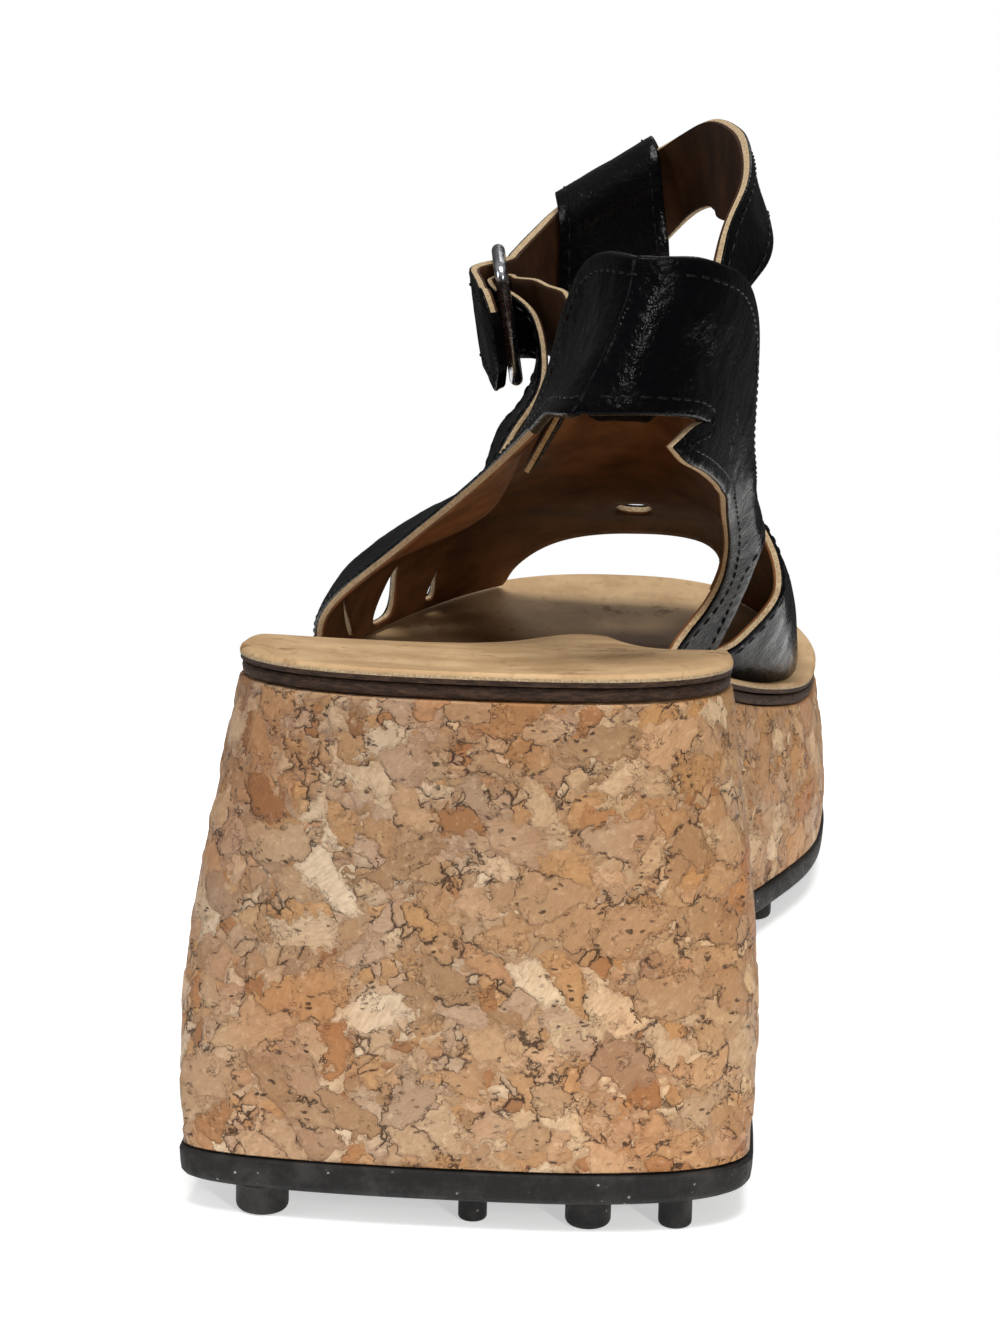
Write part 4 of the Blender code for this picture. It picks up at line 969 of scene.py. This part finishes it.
def make_upper(finishes):
    """T-strap vamp, quarters and heel strap: glossy outside, brown lining, pale cut edges."""
    step = 1.15 * MM
    loops = upper_loops(step)
    lefts = [(signed_area(loop) > 0) == (number == 0) for number, loop in enumerate(loops)]
    flat = [loop * PATTERN for loop in loops]
    verts, triangles, numbers = filled(flat, step)
    shares = verts / PATTERN
    outer = leather(shares[:, 0], shares[:, 1])
    normal = leather_normal(shares[:, 0], shares[:, 1])
    count = len(verts)
    calm = np.clip(distance_to(verts, flat) / (4 * MM), 0, 1)[:, None]
    inner_side = outer + normal * UPPER_WALL
    outer = outer + (ripple(outer, normal, 0.28 * MM, 11 * MM) - outer) * calm
    points = [outer, inner_side]
    faces = [tuple(t) for t in triangles] + [tuple(t[::-1] + count) for t in triangles]
    marks = [0] * len(triangles) + [1] * len(triangles)
    total = 2 * count
    rows = 6
    for number, (loop, left, ids) in enumerate(zip(loops, lefts, numbers)):
        low, inward, out = loop_frame(loop, left)
        bound = (np.abs(loop[:, 0]) > 0.66) & (loop[:, 1] > STRAP_LOW - 0.025) & (number == 0)
        seam = (np.abs(loop[:, 0]) > 0.9999) & (number == 0)
        bulge = np.where(bound, 0.55 * MM, 0.22 * MM)
        rims = [ids]
        for k in range(1, rows):
            turn = math.pi * k / rows
            place = low + inward * (UPPER_WALL * (1 - math.cos(turn)) / 2)
            points.append(place + out * (bulge * math.sin(turn))[:, None])
            rims.append(total + np.arange(len(loop)))
            total += len(loop)
        rims.append(ids + count)
        for k in range(len(loop)):
            m = (k + 1) % len(loop)
            if seam[k] and seam[m]:
                continue
            for row in range(rows):
                faces.append((rims[row][k], rims[row][m], rims[row + 1][m], rims[row + 1][k]))
                marks.append(0 if bound[k] or row < 2 else 2 if row < 4 else 1)
    points = np.concatenate(points)
    paths = []
    for loop, left in zip(loops[:2], lefts):
        keep = (loop[:, 1] > 0.035) & (np.abs(loop[:, 0]) < 0.995)
        paths += edge_paths(loop, left, keep, 2.0 * MM)
    stitches("upper_stitches", paths, finishes[3])
    return dress(add_piece("upper_leather", points, faces, finishes[:3], marks), "upper")


# Straps and buckle


STITCH_LENGTH = 2.1 * MM
STITCH_GAP = 0.7 * MM
STITCH_RADIUS = 0.2 * MM
# Outline of a stitch: share of its length, thickness and lift above the leather, in radii
STITCH_PROFILE = (
    (0.0, 0.25, -0.35), (0.12, 0.8, -0.05), (0.35, 1.0, 0.18), (0.65, 1.0, 0.18), (0.88, 0.8, -0.05),
    (1.0, 0.25, -0.35),
)


def curve_across(shares, row, wide):
    """One row of points, read smoothly across."""
    return np.stack([smooth(shares, row[:, axis], wide) for axis in range(3)], -1)


def ripple(points, normals, amount, size):
    """Points moved along their normals by soft creases of a size."""
    moves = [noise.fractal(Vector(p) / size, 0.6, 2.0, 3) for p in points]
    return points + normals * (amount * np.clip(moves, -1.2, 1.2))[:, None]


def stitches(name, paths, finish):
    """Rows of short threads that dip into the leather at both ends. Paths are (points, outward)."""
    points, faces = [], []
    sides = 6
    for line, outward in paths:
        run = np.concatenate([[0], np.cumsum(np.linalg.norm(np.diff(line, axis=0), axis=1))])
        for begin in np.arange(STITCH_GAP, run[-1] - STITCH_LENGTH, STITCH_LENGTH + STITCH_GAP):
            at = begin + np.array([row[0] for row in STITCH_PROFILE]) * STITCH_LENGTH
            mid = np.stack([np.interp(at, run, line[:, k]) for k in range(3)], -1)
            up = np.stack([np.interp(at, run, outward[:, k]) for k in range(3)], -1)
            ahead = mid[-1] - mid[0]
            ahead = ahead / np.linalg.norm(ahead)
            faces += ring_faces(len(STITCH_PROFILE), sides, len(points), capped=True)
            for (_, wide, lift), centre, normal in zip(STITCH_PROFILE, mid, up):
                lifted = centre + normal * (STITCH_RADIUS * lift * 2)
                side = np.cross(ahead, normal)
                side = side / np.linalg.norm(side)
                for k in range(sides):
                    angle = 2 * math.pi * k / sides
                    ring = math.cos(angle) * side + math.sin(angle) * normal
                    points.append(lifted + ring * (STITCH_RADIUS * wide))
    return dress(add_piece(name, points, faces, [finish]), None)


def edge_paths(loop, left, keep, distance):
    """Path beside a loop on the leather, at a distance from the cut edge, in kept runs."""
    a, u = loop[:, 0], loop[:, 1]
    low, inward, out = loop_frame(loop, left)
    step = 0.002
    da = (leather(a + step, u) - leather(a - step, u)) / (2 * step)
    du = (leather(a, np.clip(u + step, 0, 1)) - leather(a, np.clip(u - step, 0, 1))) / (2 * step)
    shift = -out * distance
    aa, au, uu = (da * da).sum(1), (da * du).sum(1), (du * du).sum(1)
    pa, pu = (da * shift).sum(1), (du * shift).sum(1)
    det = np.maximum(aa * uu - au * au, 1e-12)
    a_new = a + np.clip((pa * uu - pu * au) / det, -0.05, 0.05)
    u_new = u + np.clip((pu * aa - pa * au) / det, -0.08, 0.08)
    line = leather(a_new, u_new)
    normal = -leather_normal(a_new, u_new)
    runs, current = [], []
    for k in range(len(loop) + 1):
        if k < len(loop) and keep[k]:
            current.append(k)
            continue
        if len(current) > 5:
            runs.append((line[current], normal[current]))
        current = []
    return runs


def spaced(edges, step):
    """Matching points along several edge lines, with the same steps on each."""
    edges = [np.array(edge, float) for edge in edges]
    middle = edges[len(edges) // 2]
    steps = np.linalg.norm(np.diff(middle, axis=0), axis=1)
    run = np.concatenate([[0], np.cumsum(steps)])
    places = np.linspace(0, run[-1], max(4, int(round(run[-1] / step))) + 1)
    return np.stack([np.stack([smooth(run, edge[:, axis], places) for axis in range(3)], -1)
                     for edge in edges], 1)


def make_strap(node, edges, thick, finishes, outward=1, dyed_end=False, raised=0.0):
    """Strap of even thickness with rounded cut edges. finishes are outside, inside, edge and
    thread. The first rows of the edge have the outside's finish."""
    columns, levels = 13, 6
    lines = spaced(edges, 0.9 * MM)
    shares = np.linspace(0, 1, lines.shape[1])
    grid = np.stack([curve_across(shares, row, np.linspace(0, 1, columns)) for row in lines])
    along = np.gradient(grid, axis=0)
    across = np.gradient(grid, axis=1)
    normal = np.cross(along, across)
    normal = outward * normal / np.linalg.norm(normal, axis=-1, keepdims=True)
    rows, wide = grid.shape[:2]
    calm = np.minimum(np.linspace(0, 1, wide), np.linspace(1, 0, wide)) * 4
    wavy = ripple((grid + normal * thick / 2).reshape(-1, 3), normal.reshape(-1, 3), 0.2 * MM, 8 * MM)
    calm = np.clip(np.tile(calm, rows), 0, 1)[:, None]
    outer = (grid + normal * thick / 2).reshape(-1, 3) * (1 - calm) + wavy * calm
    inner = (grid - normal * thick / 2).reshape(-1, 3)
    share = min(0.3, 1.7 * MM / np.linalg.norm(grid[:, -1] - grid[:, 0], axis=1).mean())
    paths = []
    for place in (share, 1 - share):
        line = np.stack([curve_across(shares, row, [place])[0] for row in lines[2:-2]])
        face_out = [curve_across(np.linspace(0, 1, wide), row, [place])[0] for row in normal[2:-2]]
        face_out = np.stack(face_out)
        paths.append((line + face_out * thick / 2, face_out))
    stitches(node + "_leather_stitches", paths, finishes[3])
    points = [outer, inner]
    size = rows * wide
    faces, marks = [], []
    for i in range(rows - 1):
        for j in range(wide - 1):
            a, b, c, d = i * wide + j, i * wide + j + 1, (i + 1) * wide + j + 1, (i + 1) * wide + j
            faces += [(a, b, c, d), (size + a, size + d, size + c, size + b)]
            marks += [0, 1]
    rim = [(i, 0) for i in range(rows - 1)] + [(rows - 1, j) for j in range(wide - 1)]
    rim += [(i, wide - 1) for i in range(rows - 1, 0, -1)] + [(0, j) for j in range(wide - 1, 0, -1)]
    place = np.array([i * wide + j for i, j in rim])
    centre = np.array([grid[i, j] for i, j in rim])
    face = np.array([normal[i, j] for i, j in rim])
    tangent = np.roll(centre, -1, axis=0) - np.roll(centre, 1, axis=0)
    out = np.cross(tangent, face)
    out = out / np.maximum(np.linalg.norm(out, axis=1, keepdims=True), 1e-9)
    heart = np.array([grid[min(max(i, 1), rows - 2), wide // 2] for i, _ in rim])
    side = np.einsum("ij,ij->i", out, centre - heart)
    out = out * (1 if np.median(side) > 0 else -1)
    total = 2 * size
    rims = [place]
    for k in range(1, levels):
        turn = math.pi * k / levels
        swell = 0.2 * MM * math.sin(turn) + raised * max(0.0, 1 - abs(k - 1.5) / 1.8)
        points.append(centre + face * (thick / 2 * math.cos(turn)) + out * swell)
        rims.append(total + np.arange(len(rim)))
        total += len(rim)
    rims.append(place + size)
    for k in range(len(rim)):
        m = (k + 1) % len(rim)
        ended = dyed_end and rows - 2 <= k <= rows + wide
        for row in range(levels):
            faces.append((rims[row][k], rims[row][m], rims[row + 1][m], rims[row + 1][k]))
            marks.append(0 if row < 2 or ended else 2 if row < 4 else 1)
    made = add_piece(node + "_leather", np.concatenate(points), faces, finishes[:3], marks)
    return dress(made, node)


def placed(table):
    """Rows of two edge points, from a table of shares."""
    return [(np.array(row[:3]) * SHARE, np.array(row[3:]) * SHARE) for row in table]


def buckle_row(ahead, out, top, low):
    """Two edge points across the buckle, ahead of its middle bar and out from it."""
    return buckle_place(ahead, top, out), buckle_place(ahead, low, out)


def edge_lines(rows):
    """First edge, middle line and second edge from rows of two edge points."""
    first, second = (list(line) for line in zip(*rows))
    return first, [(a + b) / 2 for a, b in rows], second


def ankle_strap_edges():
    """Ankle strap from its sewn end around the ankle and through the buckle to its tapered tip."""
    inside = UPPER_WALL + 2 * GAP + STRAP_THICK / 2
    rows = [(skin(row[0], row[1], inside), skin(row[2], row[3], inside)) for row in SEWN_START]
    rows += placed(STRAP_EDGES)
    reach = BUCKLE_LENGTH / 2
    for ahead, out in WEAVE:
        rows.append(buckle_row(ahead * reach, out * reach, -STRAP_WIDTH / 2, STRAP_WIDTH / 2))
    ahead, out = WEAVE[-1]
    rows[-1] = buckle_row(ahead * reach, out * reach, -0.24 * STRAP_WIDTH, 0.24 * STRAP_WIDTH)
    return edge_lines(rows)


def strap_loop_edges():
    """Folded loop on the instep strap's top, up the front, over the ankle strap and down inside."""
    outside = -(GAP + LOOP_THICK / 2)
    inside = UPPER_WALL + GAP + LOOP_THICK / 2
    clear = STRAP_THICK / 2 + 4.8 * GAP + LOOP_THICK / 2
    ends = [(top, (low - top) / np.linalg.norm(low - top)) for top, low in placed(STRAP_EDGES)[7:10:2]]
    front = np.array([0, 1, 0])
    edges = []
    for mix in (0, 0.25, 0.5, 0.75, 1):
        side = 2 * mix - 1
        around = LOOP_WIDTH / 2 * side / INSTEP_SPREAD
        top, down = (first * (1 - mix) + second * mix for first, second in zip(*ends))
        fall = np.array([0.075 - 0.055 * side, 0, -1]) * STRAP_WIDTH
        edge = [skin(around, INSTEP_TOP - lower, outside - 2.4 * GAP) for lower in (0.19, 0.135, 0.08)]
        edge += [skin(around, INSTEP_TOP, outside - 1.6 * GAP)]
        edge += [top + front * (clear + 2 * GAP) + fall * share for share in (0.75, 0.45, 0.06)]
        edge += [top - down * (5 * GAP + LOOP_THICK / 2)]
        edge += [top - front * clear + fall * share for share in (0.06, 0.45, 0.75, 1.05)]
        edge += [skin(around * taper, INSTEP_TOP - lower, inside + 4.5 * GAP)
                 for lower, taper in ((0.045, 1), (0.075, 1), (0.105, 0.95), (0.125, 0.8), (0.138, 0.5))]
        edges.append(edge)
    return edges


def buckle_tab_edges():
    """Tab from the lateral quarter's outside, around the buckle's middle bar and back inside."""
    outside = -(GAP + TAB_THICK / 2)
    inside = UPPER_WALL + GAP + TAB_THICK / 2
    wrap = WIRE_DIAMETER / 2 + GAP + TAB_THICK / 2
    half = TAB_WIDTH / 2
    reach = BUCKLE_LENGTH / 2
    base = [(up, outside - lift) for up, lift in ((0.545, GAP), (0.585, GAP), (0.625, 1.5 * GAP))]
    rows = [(skin(0.455, up, depth), skin(0.37, up, depth)) for up, depth in base]
    rows += placed(TAB_EDGES)
    rows.append(buckle_row(-1.20 * reach, -0.62 * reach, -0.2 * half, half))
    for ahead, out in ((-0.62 * reach, -0.12 * reach), (-0.3 * reach, 0.55 * wrap)):
        rows.append(buckle_row(ahead, out, -0.8 * half, half))
    for turn in (100, 60, 20, -20, -60, -100):
        angle = math.radians(turn)
        rows.append(buckle_row(wrap * math.cos(angle), wrap * math.sin(angle), -half, half))
    for ahead, out in ((-0.5, -0.72), (-1.2, -1.0), (-2.0, -1.35)):
        rows.append(buckle_row(ahead * reach, out * reach, -half, half))
    rows.append((skin(0.60, 0.635, inside + 1.2 * MM), skin(0.585, 0.53, inside + 1.8 * MM)))
    rows.append((skin(0.66, 0.68, inside + GAP), skin(0.65, 0.57, inside + GAP)))
    first, middle, second = edge_lines(rows)
    middle[:3] = [skin(0.4125, up, depth) for up, depth in base]
    middle[-1] = skin(0.655, 0.625, inside + GAP)
    return first, middle, second


def swept(path, radii, sides, closed, start):
    """Points and faces of a round bar along a path."""
    path = np.array(path, float)
    if closed:
        tangent = np.roll(path, -1, axis=0) - np.roll(path, 1, axis=0)
    else:
        tangent = np.gradient(path, axis=0)
    tangent = tangent / np.linalg.norm(tangent, axis=1, keepdims=True)
    side = np.cross(tangent, buckle_axes()[3])
    side = side / np.linalg.norm(side, axis=1, keepdims=True)
    over = np.cross(side, tangent)
    points = []
    for i in range(len(path)):
        for k in range(sides):
            angle = 2 * math.pi * k / sides
            points.append(path[i] + radii[i] * (math.cos(angle) * side[i] + math.sin(angle) * over[i]))
    return points, ring_faces(len(path), sides, start, closed, not closed)


def make_buckle(finish):
    """Wire frame with its middle bar, and the prong that lies on the front bar."""
    reach = BUCKLE_LENGTH / 2
    half = STRAP_WIDTH / 2 + 2 * GAP + WIRE_DIAMETER / 2
    corner = 2.0 * MM
    path = []
    for side_ahead, side_down, first in ((1, 1, 0), (-1, 1, 90), (-1, -1, 180), (1, -1, 270)):
        for turn in np.linspace(0, 90, 9):
            angle = math.radians(first + turn)
            ahead = side_ahead * (reach - corner) + corner * math.cos(angle)
            down = side_down * (half - corner) + corner * math.sin(angle)
            path.append(buckle_place(ahead, down, 0))
    points, faces = swept(path, [WIRE_DIAMETER / 2] * len(path), 20, True, 0)
    bar = [buckle_place(0, down, 0) for down in np.linspace(-half, half, 12)]
    more, more_faces = swept(bar, [WIRE_DIAMETER * 0.485] * len(bar), 20, False, len(points))
    frame = add_piece("buckle_wire", points + more, faces + more_faces, [finish])
    dress(frame, "buckle_frame")
    start = buckle_place(WIRE_DIAMETER / 2 + GAP, 0, 0.04 * reach)
    end = buckle_place(1.32 * reach, 0, 0.48 * reach)
    line, radii = [], []
    for share in np.linspace(0, 1, 24):
        point = math.sqrt(max(0.04, 1 - max(0, (share - 0.9) / 0.1)**2))
        line.append(start + (end - start) * share)
        radii.append(PRONG_DIAMETER / 2 * (1 - 0.25 * share) * point)
    points, faces = swept(line, radii, 16, False, 0)
    prong = add_piece("buckle_pin", points, faces, [finish])
    dress(prong, "buckle_prong")


# Camera, lights and floor


# Frame and focal length in pixels of the photograph, the pixel in the middle of the render, the
# camera's yaw, pitch and roll in degrees, and its place
FRAME_SIZE = (1000, 1332)
PHOTO_FOCAL = 2632.0
ZOOM = 1.45
AIM = (303, 480)
CAMERA_TURN = (0.32, 16.43, 2.46)
CAMERA_PLACE = (0.0397, -0.6275, 0.1925)
FLOOR_RADIUS = 0.25


def make_camera():
    """Camera where the photograph was taken from, turned and zoomed to fill the frame."""
    yaw, pitch, roll = (math.radians(angle) for angle in CAMERA_TURN)
    look = np.array([math.sin(yaw) * math.cos(pitch), math.cos(yaw) * math.cos(pitch), -math.sin(pitch)])
    right = np.array([math.cos(yaw), -math.sin(yaw), 0])
    over = np.cross(right, look)
    right, over = (math.cos(roll) * right + math.sin(roll) * over,
                   -math.sin(roll) * right + math.cos(roll) * over)
    aim = look + right * (AIM[0] - FRAME_SIZE[0] / 2) / PHOTO_FOCAL
    aim = aim - over * (AIM[1] - FRAME_SIZE[1] / 2) / PHOTO_FOCAL
    aim = aim / np.linalg.norm(aim)
    over = over - aim * (over @ aim)
    over = over / np.linalg.norm(over)
    right = np.cross(aim, over)
    data = bpy.data.cameras.new("camera")
    data.sensor_width = 36.0
    data.lens = PHOTO_FOCAL * ZOOM / FRAME_SIZE[1] * data.sensor_width
    data.clip_start = 0.01
    data.clip_end = 50
    camera = bpy.data.objects.new("camera", data)
    turn = Matrix((right, over, -aim)).transposed()
    camera.matrix_world = Matrix.Translation(Vector(np.array(CAMERA_PLACE) + SHIFT)) @ turn.to_4x4()
    bpy.context.scene.collection.objects.link(camera)
    bpy.context.scene.camera = camera


def add_light(name, place, target, size, power, colour=(1, 1, 1)):
    """Area light at a place, aimed at a target."""
    data = bpy.data.lights.new(name, "AREA")
    data.energy = power
    data.color = colour
    data.shape = "RECTANGLE"
    data.size, data.size_y = size
    made = bpy.data.objects.new(name, data)
    made.location = place
    made.rotation_euler = (Vector(target) - Vector(place)).to_track_quat("-Z", "Y").to_euler()
    bpy.context.scene.collection.objects.link(made)


def make_floor():
    """Round white floor."""
    look = Look("pale_floor", Specular_IOR_Level=0.0, Emission_Color=(1.0, 1.0, 1.0, 1.0),
                Emission_Strength=0.5)
    cloud = look.noise(0.2)
    finish = look.finish(look.mix(look.grey(cloud, 0.3, 0.7), (0.86, 0.86, 0.86), (0.82, 0.82, 0.82)), 0.9)
    turn = 2 * math.pi * np.arange(96) / 96
    rim_points = [(FLOOR_RADIUS * math.cos(a), FLOOR_RADIUS * math.sin(a), 0) for a in turn]
    mesh = bpy.data.meshes.new("floor")
    mesh.from_pydata(rim_points, [], [tuple(range(96))])
    mesh.materials.append(finish)
    floor = bpy.data.objects.new("floor", mesh)
    bpy.context.scene.collection.objects.link(floor)


def make_stage():
    """The floor, a surround that is white to the camera and dim for the shoe, and soft lights."""
    make_floor()
    world = bpy.data.worlds.new("surround")
    world.use_nodes = True
    tree = world.node_tree
    place = tree.nodes.new("ShaderNodeTexCoord")
    upward = tree.nodes.new("ShaderNodeSeparateXYZ")
    spread = tree.nodes.new("ShaderNodeMapRange")
    spread.interpolation_type = "SMOOTHSTEP"
    for key, value in (("From Min", 0.0), ("From Max", 0.9), ("To Min", 0.06), ("To Max", 0.36)):
        spread.inputs[key].default_value = value
    path = tree.nodes.new("ShaderNodeLightPath")
    level_mix = tree.nodes.new("ShaderNodeMix")
    level_mix.inputs[3].default_value = 1.0
    surround = tree.nodes["Background"]
    surround.inputs[0].default_value = (1.0, 1.0, 1.0, 1.0)
    for source, target in ((place.outputs["Generated"], upward.inputs[0]),
                           (upward.outputs[2], spread.inputs["Value"]),
                           (path.outputs["Is Camera Ray"], level_mix.inputs[0]),
                           (spread.outputs[0], level_mix.inputs[2]),
                           (level_mix.outputs[0], surround.inputs[1])):
        tree.links.new(source, target)
    bpy.context.scene.world = world
    centre = (0, -0.05, 0.07)
    add_light("key", (0.60, -1.08, 0.40), (0, -0.1, 0.1), (0.07, 0.34), 5.5, (1.0, 0.97, 0.93))
    add_light("above", (0.05, -0.52, 1.28), centre, (0.7, 0.5), 15.0, (1.0, 0.99, 0.96))
    add_light("fill", (-1.1, -0.6, 0.5), centre, (0.5, 0.5), 3.5, (0.95, 0.97, 1.0))
    add_light("toe", (0.12, 0.95, 0.72), (0.0, 0.09, 0.04), (0.5, 0.3), 0.9)
    bpy.context.scene.view_settings.view_transform = "Standard"


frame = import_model()
rim = [float(sole_edge(along, -1)[0]) for along in stations(44)]
SHIFT = np.array([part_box("insole")[0].x - min(rim), 0.0, 0.0])

rubber = rubber_look()
black = black_leather_look()
lining = lining_look()
# Painted shade: a darker copy of the brown lining for the straps, standing for their lining lying in shade.
shaded_strap_lining = lining_look("shaded_strap_lining", (40, 22, 11), (62, 38, 20))
fold_black = black_leather_look("loop_leather", 0.2, 0.16)
cream = edge_look()
thread = thread_look()
make_wedge()
make_rand()
make_footbed()
make_outsole(rubber)
make_studs(rubber)
make_upper([black, lining, cream, thread])
make_strap("ankle_strap", ankle_strap_edges(), STRAP_THICK, [black, shaded_strap_lining, cream, thread],
           outward=-1, dyed_end=True, raised=0.45 * MM)
make_strap("strap_loop", strap_loop_edges(), LOOP_THICK, [fold_black, shaded_strap_lining, fold_black, thread],
           outward=-1)
make_strap("buckle_tab", buckle_tab_edges(), TAB_THICK, [black, shaded_strap_lining, cream, thread])
make_buckle(metal_look())
make_camera()
make_stage()

bpy.context.view_layer.update()
